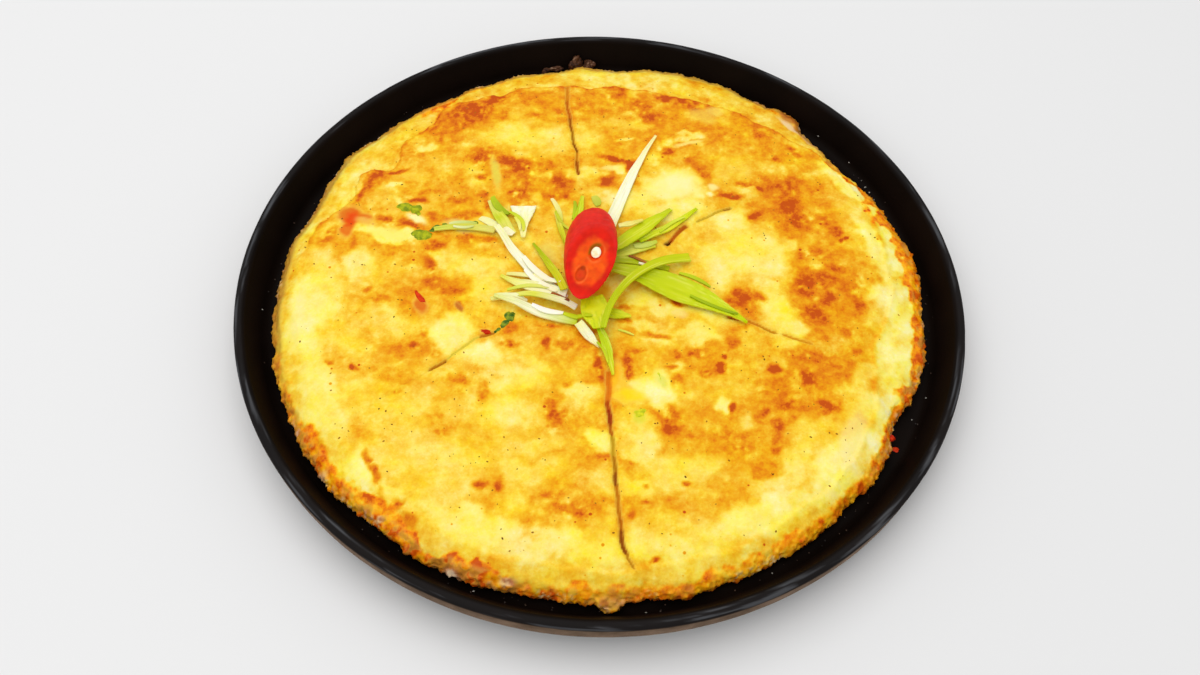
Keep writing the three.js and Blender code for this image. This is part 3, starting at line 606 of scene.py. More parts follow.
def browning(points):
    """How brown the batter is at each point, from 0, cream, to 1, dark crust, and how crisp it is."""
    flat = points * (1, 1, 0)
    sway_x = mottle(flat, SWAY_WIDE, 4, 41)
    sway_y = mottle(flat, SWAY_WIDE, 4, 42)
    x = points[:, 0] + 5 * sway_x
    y = points[:, 1] + 5 * sway_y
    patchy = mottle(flat, PATCHY_WIDE, 4, 44)
    broken = mottle(flat, BROKEN_WIDE, 3, 45)
    level = BASE_BROWN + 0.12 * mottle(flat, 30, 2, 43) + 0.18 * patchy + 0.14 * broken
    for px, py, length, width, brown, *heading in TOASTED:
        share = in_patch(x, y, 0.6, px, py, length, width, *heading)
        share *= ease(patchy + 0.5 * broken, -1.2, -0.15)
        level += (brown + 0.06 + 0.16 * patchy + 0.14 * broken - level) * 0.9 * share
    for px, py, length, width, brown, *heading in PALE:
        share = in_patch(x, y, 0.45, px, py, length, width, *heading)
        level += (brown + 0.1 * patchy + 0.06 * broken - level) * 0.92 * share
    x = points[:, 0] + 2.2 * sway_x
    y = points[:, 1] + 2.2 * sway_y
    for px, py, length, width, brown, *heading in BROWNED:
        share = in_patch(x, y, 0.55, px, py, length, width, *heading) * ease(broken, -1.0, -0.1)
        level += (brown + 0.1 + 0.2 * broken - level) * 0.92 * share
    angle, radius = bearings(points)
    torn = torn_skin(points)
    back = skin_torn(angle)
    level += SKIN_EDGE_BROWN * back * np.exp(-((torn + 2.4) / 3) ** 2) * ease(patchy, -0.5, 0.3)
    # A darker line at the torn step: browning, and painted shade under the step.
    level += STEP_LINE_BROWN_AND_SHADE * back * np.exp(-((torn + 0.3) / 0.9) ** 2)
    shoulder = np.interp(np.degrees(angle), *zip(*SHOULDER_BROWN))
    beyond_step = back * ease(torn, 0.0, 1.4)
    beyond_slope = skin_slopes(angle) * ease(torn, 0, 3)
    for share, brown in ((beyond_step, shoulder), (beyond_slope, SLOPE_BROWN)):
        level += (brown + 0.26 * patchy + 0.16 * broken - level) * 0.9 * share
    inset = edge_radius(angle) - radius
    wide, browner = crisp_edge(angle)
    wide = wide * (1 + 0.7 * mottle(flat, 7, 3, 46)) + 0.8 * broken
    crisp = ease(wide - inset, -0.9, 0.9)
    crisp_brown = CRISP_BROWN + browner + 0.22 * mottle(flat, 5, 3, 47) + 0.26 * broken
    level += (crisp_brown - level) * crisp
    under = 1 - ease(points[:, 2], 7.0, 10.0)
    return level + (UNDERSIDE_BROWN + 0.25 * broken - level) * 0.85 * under, crisp


# Wedges. Three strokes of a knife through one middle part the round into six wedges that still lie in place.
# The cuts gape where the crust is stiff and close up where it is soft.
CUT_MIDDLE = np.array((-3.9, 3.0))
CUT_CLOSED = 0.012
CUT_TIP = 1.0
CUT_STEP = 0.9
CUT_REACH = 190.0
CUT_WALL_TOP = (15.4, 16.6)
KNIFE_HIGH = 40
CUT_RAYS = [-18.4, 34, 98.1, 156, 219.3, 278.6]
# How far each cut strays to the left of its straight line, at places along it.
CUT_STRAYS = {
    -18.4: [(0, 0), (56, 0.6), (62, 1.5), (73, 0.1), (84, 0.7), (100, 0)],
    34: [(0, 0), (33, -1.6), (35, -1.4), (40, 0.6), (45, 2.3), (49, 1.7), (59, 2.2), (66, 1.4), (90, 1)],
    98.1: [
        (0, 0), (52, 0.5), (56, 0.7), (61, 0.2), (66, 0), (72, 0.9), (82, 1.1), (96, 1.6), (102, 0.6),
        (106, 0.4),
    ],
    156: [(0, 0), (30, 0.5), (60, -0.4), (90, 0.3)],
    219.3: [(0, 0), (44, 0.3), (50, -0.8), (54, -1.7), (62, -0.8), (69, 0), (90, 0)],
    278.6: [
        (0, 0), (46, 1.3), (58, -0.5), (75, -0.7), (91, -1.45), (114, -1.8), (118, -0.6), (123, 2.2),
        (200, 2.2),
    ],
}
# The stretches where each cut shows: its start and stop, how far the cut gapes, the width and the depth of
# its pressed edges, and the colour painted there, which is the crust's own colour darkened with painted shade
# for the narrow cut.
CUT_STRETCHES = {
    -18.4: [
        (55, 60, 0.04, 1.7, 1.0, "#c06000"), (60, 67, 0.03, 1.6, 0.9, "#cc7800"),
        (67, 74, 0.06, 1.5, 0.9, "#cc8800"), (77, 88, 0.03, 1.4, 0.7, "#d8900c"),
    ],
    34: [
        (33, 36, 0.7, 2.2, 1.4, "#642402"), (36, 46, 0.06, 2.2, 1.2, "#bc5200"),
        (51, 64, 0.02, 1.4, 0.6, "#cca424"), (64, 67, 0.1, 1.5, 0.9, "#b07c18"),
    ],
    98.1: [
        (53, 61, 0.07, 1.7, 1.2, "#a84e00"), (61, 66, 0.03, 1.4, 0.9, "#cc8004"),
        (66, 71, 0.12, 1.5, 1.2, "#a05800"), (71, 79, 0.07, 1.5, 1.1, "#b07400"),
        (79, 86, 0.08, 1.6, 1.2, "#a85800"), (86, 97, 0.05, 1.8, 1.1, "#c46200"),
        (97, 106, 0.03, 2.0, 1.0, "#d48008"),
    ],
    156: [],
    219.3: [
        (46, 51, 0.04, 1.9, 1.0, "#bc6c08"), (52, 66, 0.0, 1.2, 0.5, "#d8c038"),
        (67, 74, 0.08, 1.6, 1.1, "#b87000"),
    ],
    278.6: [
        (44, 57, 0.03, 2.4, 0.8, "#dc7000"), (57, 61, 0.08, 2.2, 1.2, "#b84200"),
        (61, 67, 0.12, 2.3, 1.2, "#a01c00"), (67, 72, 0.05, 1.8, 1.0, "#b86000"),
        (72, 81, 0.02, 1.9, 0.8, "#c09410"), (81, 87, 0.06, 1.8, 1.0, "#b47400"),
        (87, 92, 0.12, 1.9, 1.2, "#984600"), (92, 104, 0.04, 1.8, 1.0, "#c47400"),
        (104, 108, 0.06, 1.7, 1.1, "#bc6800"), (108, 117, 0.13, 2.0, 1.4, "#964000"),
        (117, 121, 0.04, 1.6, 0.9, "#c88c10"),
    ],
}


def strays(ray, along):
    """How far the cut lies to the left of its straight line, this far from the middle."""
    places_along, sideways = zip(*CUT_STRAYS[ray])
    return np.interp(along, places_along, sideways) + 0.16 * np.sin(along / 1.7 + ray)


def cut_frame(ray, spots):
    """Along and across a cut: how far out each spot lies, and how far it is left of the cut's middle line."""
    heading = math.radians(ray)
    away = spots - CUT_MIDDLE
    along = away[:, 0] * math.cos(heading) + away[:, 1] * math.sin(heading)
    across = away[:, 1] * math.cos(heading) - away[:, 0] * math.sin(heading)
    return along, across - strays(ray, along)


def in_stretch(along, start, stop):
    """1 along the stretch, and less towards its two ends."""
    return ease(along, start - 1.5, start + 0.8) * (1 - ease(along, stop - 0.8, stop + 1.5))


def cut_gap(ray, along):
    """How wide the cut gapes, this far from the middle. Soft crust bridges it here and there."""
    gap = np.full_like(along, CUT_CLOSED)
    bridged = 0.8 + 0.2 * np.sin(along / 1.3 + ray) * np.sin(along / 3.1 + 2 * ray)
    for start, stop, gape, *_ in CUT_STRETCHES[ray]:
        gap = np.maximum(gap, gape * bridged * in_stretch(along, start, stop))
    return gap


def cut_side(ray, side):
    """The line of one side of a cut, from the middle outwards: side is 1 on its left and -1 on its right."""
    heading = math.radians(ray)
    along = np.concatenate(([CUT_TIP], np.arange(CUT_STEP, CUT_REACH, CUT_STEP)))
    across = strays(ray, along) + side * cut_gap(ray, along) / 2
    x = CUT_MIDDLE[0] + along * math.cos(heading) - across * math.sin(heading)
    y = CUT_MIDDLE[1] + along * math.sin(heading) + across * math.cos(heading)
    return list(zip(x, y))


def new_piece(name, data):
    """A new object that holds this mesh, lamp or camera."""
    made = bpy.data.objects.new(name, data)
    bpy.context.collection.objects.link(made)
    return made


def duplicate(piece):
    """A second piece like this one, with a mesh of its own."""
    made = piece.copy()
    made.data = piece.data.copy()
    bpy.context.collection.objects.link(made)
    return made


def knife_block(right, left):
    """The space between two cuts, as a block that the round is trimmed to."""
    outline = cut_side(right, 1) + cut_side(left, -1)[::-1]
    mesh = bpy.data.meshes.new("knife_block")
    mesh.from_pydata([(x * MM, y * MM, 0) for x, y in outline], [], [list(range(len(outline)))])
    block = pick(new_piece("knife_block", mesh))
    open_mesh()
    bpy.ops.mesh.extrude_region_move(TRANSFORM_OT_translate={"value": (0, 0, KNIFE_HIGH * MM)})
    bpy.ops.mesh.select_all(action="SELECT")
    bpy.ops.mesh.normals_make_consistent(inside=False)
    close_mesh()
    return block


# Stains: vegetable that shows through the batter, and a few pale marks on the front rim that are lace with
# painted glints of oil. Each: x, y, length, width, colour, how strongly it shows, and its heading where that
# isn't 0.
STAINS = [
    (28, 51, 20, 14, "#fdf2a6", 0.7, 10), (30, 54, 12, 8, "#fef6c0", 0.5, 20),
    (-46, 54, 3.4, 17, "#dcd44c", 0.75, 10), (10.7, -47.5, 5, 9, "#fbb806", 0.8, 10),
    (9, -52, 9, 4, "#fdd31a", 0.7, -30), (2, 60, 9, 3, "#fdf0a0", 0.6, 10), (30, -13, 7, 4, "#f6c8a0", 0.5),
    (40, 93, 12, 7, "#dcb850", 0.45, -30), (44, 52, 4, 4, "#fdf2a0", 0.8),
    (-102.4, 28, 10, 10, "#da5800", 0.92, -30), (-97, 26.8, 9, 5.6, "#de5c00", 0.88, -20),
    (-102.4, 20.4, 5.6, 9, "#e25a00", 0.92, -14), (-101, 26, 5.6, 8, "#e43c00", 0.95, 10),
    (-68.4, -15.6, 4.4, 8.6, "#d85400", 0.9, 24), (-53.5, -15, 5.6, 2.2, "#b84c0c", 0.85, -54),
    (-85, 19, 15, 5, "#f9ea74", 0.8, -4), (-95, 24, 10, 4, "#f6d060", 0.6, -24),
    (-75.6, 27.2, 9, 3.6, "#fbf7ae", 0.9, -28), (-57, 24.6, 13, 5.4, "#dfe096", 0.75, -10),
    (-22, 13, 7, 11, "#dcdc78", 0.5, 20), (22, -42, 3.4, 8, "#e2e06c", 0.6, 10),
    (15.6, -60, 5, 6, "#d4d02c", 0.75, 10), (24, -44, 3, 7, "#cfd43c", 0.7, 14),
    (6.4, -43, 4.6, 13, "#fcb402", 0.9, -6), (13, -50.6, 10, 5, "#fdd808", 0.9, -20),
    (-43, -26, 5, 2.6, "#c8501a", 0.7), (93, -62, 9, 22, "#f6e8b4", 0.5, -22),
    (-114, -22, 6, 26, "#f2ecb8", 0.45, 2), (8.6, -127, 10, 4.5, "#b0703c", 0.75),
    (78.4, 98, 11, 7, "#bc622a", 0.88, -50), (78, 92.2, 13, 3.2, "#f4dcbc", 0.75, -46),
    (86.6, 83.6, 12, 2.6, "#f4dcb4", 0.65, -48), (45, 96, 8, 6, "#eed268", 0.55),
    # These pale marks on the front rim are lace, partly painted glints of oil.
    (-45.6, -119.6, 7, 2.6, "#fff0dc", 0.75, -20), (-96, -87.5, 4, 7, "#fbe4c8", 0.6, -50),
    (-26.5, -122, 6, 2.4, "#fbe8cc", 0.6), (-72, -102.4, 3, 2.4, "#fbeec0", 0.7),
    (33.5, 76, 12, 1.8, "#fbe880", 0.8, 20),
]
# Here and there the crisp edge is charred, and its outermost part is a pale lace of dry starch, painted paler
# in spots as painted glints of oil on it. At the back the edge is painted darker in a thin line: painted
# shade where it falls away.
CHAR_COLOUR = "#a2440c"
CHAR_SHOWS = 0.72
LACE_AND_GLINT_COLOUR = "#f6dcb8"
LACE_AND_GLINT_SHOWS = 0.7
BACK_EDGE_SHADE_COLOUR = "#a06026"
BACK_EDGE_SHADE_SHOWS = 0.8


def wash(paint, colour, share):
    """Lays a colour over the paint, as strongly as share says at each point."""
    paint += (np.array(linear(colour))[:paint.shape[1]] - paint) * share[:, None]


def stain(paint, colour, share):
    """Washes a colour over the crust's stains, and keeps the greatest strength as alpha."""
    wash(paint[:, :3], colour, share)
    paint[:, 3] = np.maximum(paint[:, 3], share)


def press_cuts(points, level, paint):
    """Presses the edges of the cuts down, colours them partly with painted shade of the narrow cut, and
    browns the crust beside them.
    """
    broken = mottle(points * (1, 1, 0), 1.6, 2, 53)
    for ray in CUT_RAYS:
        along, across = cut_frame(ray, points[:, :2])
        pressed = np.zeros(len(points))
        for start, stop, _, wide, deep, colour in CUT_STRETCHES[ray]:
            near = 1 - ease(np.abs(across) + 0.14 * broken, 0.1, 0.85 * wide)
            share = near * in_stretch(along + broken, start, stop)
            pressed = np.maximum(pressed, deep * share)
            # Painted shade: the cut's dark line is partly laid on as colour.
            stain(paint, colour, 0.96 * ease(share, 0.05, 0.75))
            beside = in_stretch(along, start, stop) * np.exp(-(across / (1.2 * wide)) ** 2)
            level += 0.22 * beside * (1 - level)
        points[:, 2] -= pressed * ease(points[:, 2], 9, 14)
    return level, paint


def paint_stains_and_light(points):
    """The colour of what shows through at each point, with painted glints and painted shade at the edge, and
    its strength as alpha.
    """
    flat = points * (1, 1, 0)
    x = points[:, 0] + 0.9 * mottle(flat, 5, 3, 51)
    y = points[:, 1] + 0.9 * mottle(flat, 5, 3, 52)
    paint = np.zeros((len(points), 4))
    paint[:, :3] = linear("#fbe25a")[:3]
    for px, py, length, width, colour, shows, *heading in STAINS:
        stain(paint, colour, in_patch(x, y, 0.45, px, py, length, width, *heading) * shows)
    angle, radius = bearings(points)
    inset = edge_radius(angle) - radius
    char = CHAR_SHOWS * (1 - ease(inset, 2.0, 5.5)) * ease(mottle(points, 3.4, 4, 56), -0.05, 0.25)
    char *= ease(crisp_edge(angle)[1], 0, 0.12)
    turn = np.degrees(angle) % 360
    # Painted shade: a thin darker line round the back of the edge.
    back_edge_shade = BACK_EDGE_SHADE_SHOWS * (1 - ease(inset, 2.8, 5.6)) * ease(turn, 26, 44) * (1 - ease(turn, 186, 214))
    # Lace, partly real and partly painted glints of oil.
    lace = LACE_AND_GLINT_SHOWS * (1 - ease(inset, 0.4, 2.6)) * ease(mottle(points, 1.6, 3, 54), 0.08, 0.4)
    lace *= ease(mottle(flat, 16, 2, 55), -0.15, 0.2) * ease(points[:, 2], 6, 8)
    for shows, colour in ((back_edge_shade, BACK_EDGE_SHADE_COLOUR), (char, CHAR_COLOUR), (lace, LACE_AND_GLINT_COLOUR)):
        stain(paint, colour, shows)
    return paint


wedges = []
for i, right in enumerate(CUT_RAYS):
    left = CUT_RAYS[(i + 1) % len(CUT_RAYS)]
    block = knife_block(right, left)
    wedge = duplicate(cake)
    modify(wedge, "BOOLEAN", operation="INTERSECT", object=block, solver="MANIFOLD")
    bpy.data.objects.remove(block)
    points = places(wedge)
    level, crisp = browning(points)
    bare = np.zeros(len(points))
    for ray in (right, left):
        along, across = cut_frame(ray, points[:, :2])
        gape = cut_gap(ray, along)
        wall = 1 - ease(np.abs(np.abs(across) - gape / 2), 0.02, 0.1)
        bare = np.maximum(bare, wall * ease(gape, 0.1, 0.4))
    sunk = 1 - ease(points[:, 2], *CUT_WALL_TOP)
    level, paint = press_cuts(points, level, paint_stains_and_light(points))
    put(wedge, points)
    brush(wedge, "browned", level)
    brush(wedge, "stains_and_painted_light", paint)
    brush(wedge, "crumb", bare * 0.6 * sunk)
    brush(wedge, "oiled", crisp)
    smooth(wedge, 50)
    hand_over(wedge, f"pancake_wedge_{i + 1}", fried_batter, "crust", f"pajeon_slice_{i + 1}")
    wedges.append(wedge)
bpy.data.objects.remove(cake)


# Bits in the batter. Chopped carrot, chilli and spring onion that the batter set round, so that they lie
# half sunk in the top. Each: x, y, length, width, the way its length points, and how far it stands up.
BITS = {
    "red": [
        (-69.2, -11.2, 7.4, 2.2, -54, 0.45), (-43, -26, 4.6, 1.8, -4, 0.3), (108.2, -58.3, 3.0, 3.0, 30, 0.4),
        (110.6, -61, 2.6, 3.4, 80, 0.2),
    ],
    "green": [
        (-80.6, 33, 6.4, 4.4, 4, 0.6), (-76.4, 32.2, 5.4, 4.4, -40, 0.6), (-75, 29.8, 3, 2, -70, 0.4),
        (-72.6, 18.4, 8, 6.0, 10, 0.4), (-17.6, 4.6, 2.4, 1.6, 60, 0.3),
    ],
    "yellow_green": [(16.3, -58.4, 5.4, 4.2, 30, 0.4), (23, -42, 2, 6, 12, 0.1)],
    "dark_green": [
        (-34.2, -18.6, 5.6, 4, 80, 0.5), (-35.6, -22, 5.4, 2.4, 56, 0.4), (-38, -25, 3.4, 1.5, 40, 0.3),
        (-67.6, 22.6, 5.6, 3, 34, 0.4), (-63.6, 25, 3, 2, 10, 0.3), (-51.6, 27, 3, 1.6, -20, 0.3),
    ],
    "pale_green": [
        (-59.6, 25.4, 5, 2.6, 10, 0.3), (-55.6, 24.2, 4.6, 2.4, -30, 0.3), (-52.6, 26, 4, 2, 10, 0.3),
    ],
}
BIT_COLOURS = {
    "red": ("#e03c04", "#b81c02"), "green": ("#b4ba10", "#7c8c0a"), "yellow_green": ("#e4dc20", "#b8c018"),
    "dark_green": ("#8a9a20", "#38601a"), "pale_green": ("#dcdc70", "#b8bc34"),
}
BIT_THICK = 1.6
BIT_UNEVEN = 0.35
BIT_CUTS = 4


def surfaces(pieces):
    """The pieces' surfaces in a form that rays can be cast at."""
    found = []
    for piece in pieces:
        mesh = bmesh.new()
        mesh.from_mesh(piece.data)
        found.append(BVHTree.FromBMesh(mesh))
        mesh.free()
    return found


def top_of(carriers, x, y):
    """Height of the topmost of these surfaces at a place, in millimetres."""
    hits = [carrier.ray_cast(Vector((x * MM, y * MM, 1)), Vector((0, 0, -1)))[0] for carrier in carriers]
    return max([hit.z / MM for hit in hits if hit] + [FLOOR_Z])


def turned(points, heading):
    """The points turned to the left by this many degrees."""
    turn = math.radians(heading)
    x = points[:, 0] * math.cos(turn) - points[:, 1] * math.sin(turn)
    y = points[:, 0] * math.sin(turn) + points[:, 1] * math.cos(turn)
    return np.stack([x, y, points[:, 2]], axis=1)


def lump(place, size, heading, cuts, uneven, grain, octaves):
    """A lump of food: an uneven ball 1 mm across, stretched to its size, turned and put in its place."""
    clear_selection()
    bpy.ops.mesh.primitive_ico_sphere_add(subdivisions=cuts, radius=0.5 * MM)
    piece = bpy.context.object
    points = places(piece)
    points *= 1 + uneven * mottle(points, grain, octaves, place[0])[:, None]
    put(piece, turned(points * size, heading) + place)
    return piece


def join(pieces):
    clear_selection()
    for piece in pieces:
        piece.select_set(True)
    bpy.context.view_layer.objects.active = pieces[0]
    bpy.ops.object.join()
    return bpy.context.object


def toned(name, tones, finish, size, detail=2.0, rough=0.5):
    """A material in tones this many millimetres apart, with the rest of its finish as the shader takes it."""
    made, tree, shader = surface(name)
    colour = add(tree, "ValToRGB", {"Fac": flecks(tree, size, detail, rough)}, tones)
    feed(shader, {"Base Color": colour.outputs["Color"], **finish})
    return made


# Moist vegetable flesh, cut with a knife: glossy, a little see-through, in two tones 1.8 mm apart.
VEGETABLE_FLESH = {
    "Roughness": 0.4, "Specular IOR Level": 0.1,
    "Subsurface Weight": 0.1, "Subsurface Radius": (0.6, 0.6, 0.3), "Subsurface Scale": 0.5 * MM,
}
crust_tops = surfaces(wedges)
for colour, spots in BITS.items():
    chopped = []
    for x, y, length, width, heading, rise in spots:
        middle = top_of(crust_tops, x, y) + rise - BIT_THICK / 2
        size = (length, width, BIT_THICK)
        chopped.append(lump((x, y, middle), size, heading, BIT_CUTS, BIT_UNEVEN, 0.5, 3))
    bits = join(chopped)
    smooth(bits)
    pale, deep = BIT_COLOURS[colour]
    tones = [(0.38, deep), (0.62, pale)]
    flesh = toned(f"vegetable_{colour}_chopped", tones, VEGETABLE_FLESH, 1.8, 3.0)
    hand_over(bits, f"bits_{colour}", flesh, "crust")


# Pepper. Coarsely ground black pepper that was stirred into the batter: dark specks under a millimetre wide.
PEPPER_COUNT = 620
PEPPER_LONG = (0.25, 0.96)
PEPPER_REACH = 119.0
PEPPER_CLUMP = 16
PEPPER_SUNK = 0.05
GRAIN_SHAPE = (1, 0.62, 0.4)


def scatter(name, spots, material, slot):
    """Small flat grains joined into one piece. Each spot: x, y, z, length, and the way it points."""
    clear_selection()
    bpy.ops.mesh.primitive_ico_sphere_add(subdivisions=1, radius=0.5 * MM)
    grain = bpy.context.object
    shape = places(grain)
    faces = np.array([list(face.vertices) for face in grain.data.polygons])
    bpy.data.objects.remove(grain)
    corners = []
    sides = []
    for i, (x, y, z, length, heading) in enumerate(spots):
        corners.append(turned(shape * length * GRAIN_SHAPE, heading) + (x, y, z))
        sides.append(faces + i * len(shape))
    mesh = bpy.data.meshes.new(name)
    mesh.from_pydata((np.concatenate(corners) * MM).tolist(), [], np.concatenate(sides).tolist())
    return hand_over(new_piece(name, mesh), name, material, slot)


random.seed(5)
pepper_spots = []
while len(pepper_spots) < PEPPER_COUNT:
    x = random.uniform(-PEPPER_REACH, PEPPER_REACH)
    y = random.uniform(-PEPPER_REACH, PEPPER_REACH)
    length = random.uniform(*PEPPER_LONG) ** 2 + 0.25
    heading = random.uniform(0, 180)
    kept = 0.5 + noise.noise(Vector((x, y, 0)) / PEPPER_CLUMP) > random.random()
    if kept and math.hypot(x, y) < PEPPER_REACH:
        pepper_spots.append((x, y, top_of(crust_tops, x, y) - PEPPER_SUNK, length, heading))

# Ground pepper: broken dark husk, matt, brown where the crust has coated it.
pepper_tones = [(0.4, "#744208"), (0.62, "#b87c1c")]
pepper_finish = {"Roughness": 0.7, "Specular IOR Level": 0.1}
ground_pepper = toned("black_pepper_ground", pepper_tones, pepper_finish, 14, 3.0)
scatter("pepper_specks", pepper_spots, ground_pepper, "crust")


# Spring onion. The white and the green of the stalk cut lengthwise into shreds, which curl as they dry.
# They lie loose across one another. Colours of each shred at its root, half way and at its tip.
SHREDS = {
    "shred_pale_far_left": ("#e2d870", "#dbd650", "#cfd44c"),
    "shred_green_left": ("#fbf088", "#cfd61c", "#f0ea84"),
    "shred_pale_flared": ("#fbf6a8", "#fdf8b4", "#fffce0"),
    "shred_green_thin_back": ("#cfd018", "#dcd828", "#f0dc74"),
    "shred_green_back": ("#b8ce0c", "#c2d80c", "#dade30"),
    "shred_pale_right": ("#c8d01c", "#dfe060", "#ccd224"),
    "shred_green_low_right": ("#9cac06", "#b0c00a", "#c6d210"),
    "leaf_green_right": ("#b4c608", "#ccd60a", "#cede0a"),
    "shred_green_long_right": ("#c2d60c", "#e6e420", "#d0de08"),
    "shred_green_wide_right": ("#b8d004", "#d0da0a", "#c4d004"),
    "shred_white_long": ("#fdfac8", "#fffce0", "#fbf4a8"),
    "shred_pale_short_right": ("#fbf4a0", "#f8ea84", "#f0e068"),
    "shred_white_left": ("#fffdec", "#fffce4", "#fbf6b8"),
    "shred_white_broad_left": ("#fffce0", "#f8f4b0", "#e4e044"),
    "shred_green_spear_left": ("#dcdc10", "#c6cc08", "#acb808"),
    "shred_pale_thin_left": ("#fdf4e4", "#dcdc48", "#eeea8c"),
    "shred_pale_low_left": ("#cad80c", "#fffcdc", "#e4e480"),
    "shred_pale_front": ("#f8f6a8", "#fffcd8", "#f8f0a0"),
    "shred_green_front": ("#b2ca06", "#c6d60e", "#dedc24"),
    "shred_green_short_right": ("#cde008", "#dce414", "#e0de2c"),
    "shred_green_broad_front": ("#d2e008", "#e2e014", "#d2de0c"),
    "shred_green_hooked": ("#bcca06", "#c2cc08", "#ccd210"),
}
FIBRE_GAP = 0.75
FIBRE_DEEP = 0.06
CUT_EDGE_CREASE = 0.85


def copy_of(node):
    """A copy of a solid to work on, with its shared points merged and its triangles paired into quads."""
    piece = duplicate(frame["nodes"][node])
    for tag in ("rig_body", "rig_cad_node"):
        del piece[tag]
    piece.parent = None
    piece.hide_viewport = False
    piece.hide_render = False
    pick(piece)
    open_mesh()
    bpy.ops.mesh.remove_doubles(threshold=0.01 * MM)
    bpy.ops.mesh.tris_convert_to_quads(face_threshold=math.radians(60), shape_threshold=math.radians(60))
    close_mesh()
    return piece


def lie_of(points, root):
    """How far along the shred each point lies, from 0 to 1, and how far across, in millimetres."""
    flat = points[:, :2] - points[:, :2].mean(axis=0)
    way = np.linalg.svd(flat, full_matrices=False)[2][0]
    if (np.array(root) - points[:, :2].mean(axis=0)) @ way > 0:
        way = -way
    along = flat @ way
    aside = flat @ np.array((-way[1], way[0]))
    across = aside - np.polyval(np.polyfit(along, aside, 3), along)
    return (along - along.min()) / np.ptp(along), across


def leaf_tissue(name, roughness):
    """Wet leaf, cut lengthwise: smooth, finely ribbed and a little see-through."""
    tissue, tree, shader = surface(name)
    colour = add(tree, "Attribute", attribute_name="leaf_colour").outputs["Color"]
    feed(shader, {
        "Base Color": colour, "Roughness": roughness, "Specular IOR Level": 0.12,
        "Subsurface Weight": 0.2, "Subsurface Radius": (0.8, 1.0, 0.4), "Subsurface Scale": 1.0 * MM,
    })
    return tissue


onion_skins = {
    "onion_white": leaf_tissue("spring_onion_white_cut", 0.38),
    "onion_green": leaf_tissue("spring_onion_green_cut", 0.32),
}
shreds = []
for number, (node, colours) in enumerate(SHREDS.items()):
    shred = copy_of(node)
    shreds.append(shred)
    pick(shred)
    open_mesh()
    bpy.ops.mesh.select_mode(type="EDGE")
    bpy.ops.mesh.select_all(action="DESELECT")
    bpy.ops.mesh.edges_select_sharp(sharpness=math.radians(40))
    bpy.ops.transform.edge_crease(value=CUT_EDGE_CREASE)
    close_mesh()
    modify(shred, "SUBSURF", levels=3, render_levels=3)
    points = places(shred)
    along, across = lie_of(points, (-5, 0))
    half = max(1.0, np.abs(across).max())
    fibre = np.sin(across * 2 * math.pi / FIBRE_GAP + 2 * mottle(points, 9, 2, number))
    points += outward(shred) * (FIBRE_DEEP * fibre)[:, None]
    points[:, 2] += 0.25 * mottle(points, 7, 2, 60 + number) * ease(along, 0.3, 1)
    put(shred, points)
    root, middle, tip = (np.array(linear(colour)) for colour in colours)
    first = root + (middle - root) * np.clip(along * 2, 0, 1)[:, None]
    paint = first + (tip - first) * np.clip(along * 2 - 1, 0, 1)[:, None]
    streaks = mottle(np.stack([along * 4, across * 2.2, across * 0], axis=1), 1.5, 3, 80 + number)
    white = "pale" in node or "white" in node
    green = ease(streaks, 0.0, 0.55) * 0.5 + 0.35 * ease(np.abs(across) / half, 0.55, 1) - 0.08 * fibre
    green *= 0.5 if white else 1.0
    wash(paint, "#b4c408", np.clip(green, 0, 1))
    wash(paint, "#f2ee70", 0.35 * ease(-streaks, 0.15, 0.6))
    brush(shred, "leaf_colour", np.clip(paint, 0, 1))
    smooth(shred, 50)
    part = "onion_white" if white else "onion_green"
    hand_over(shred, f"onion_{node}", onion_skins[part], part, node)


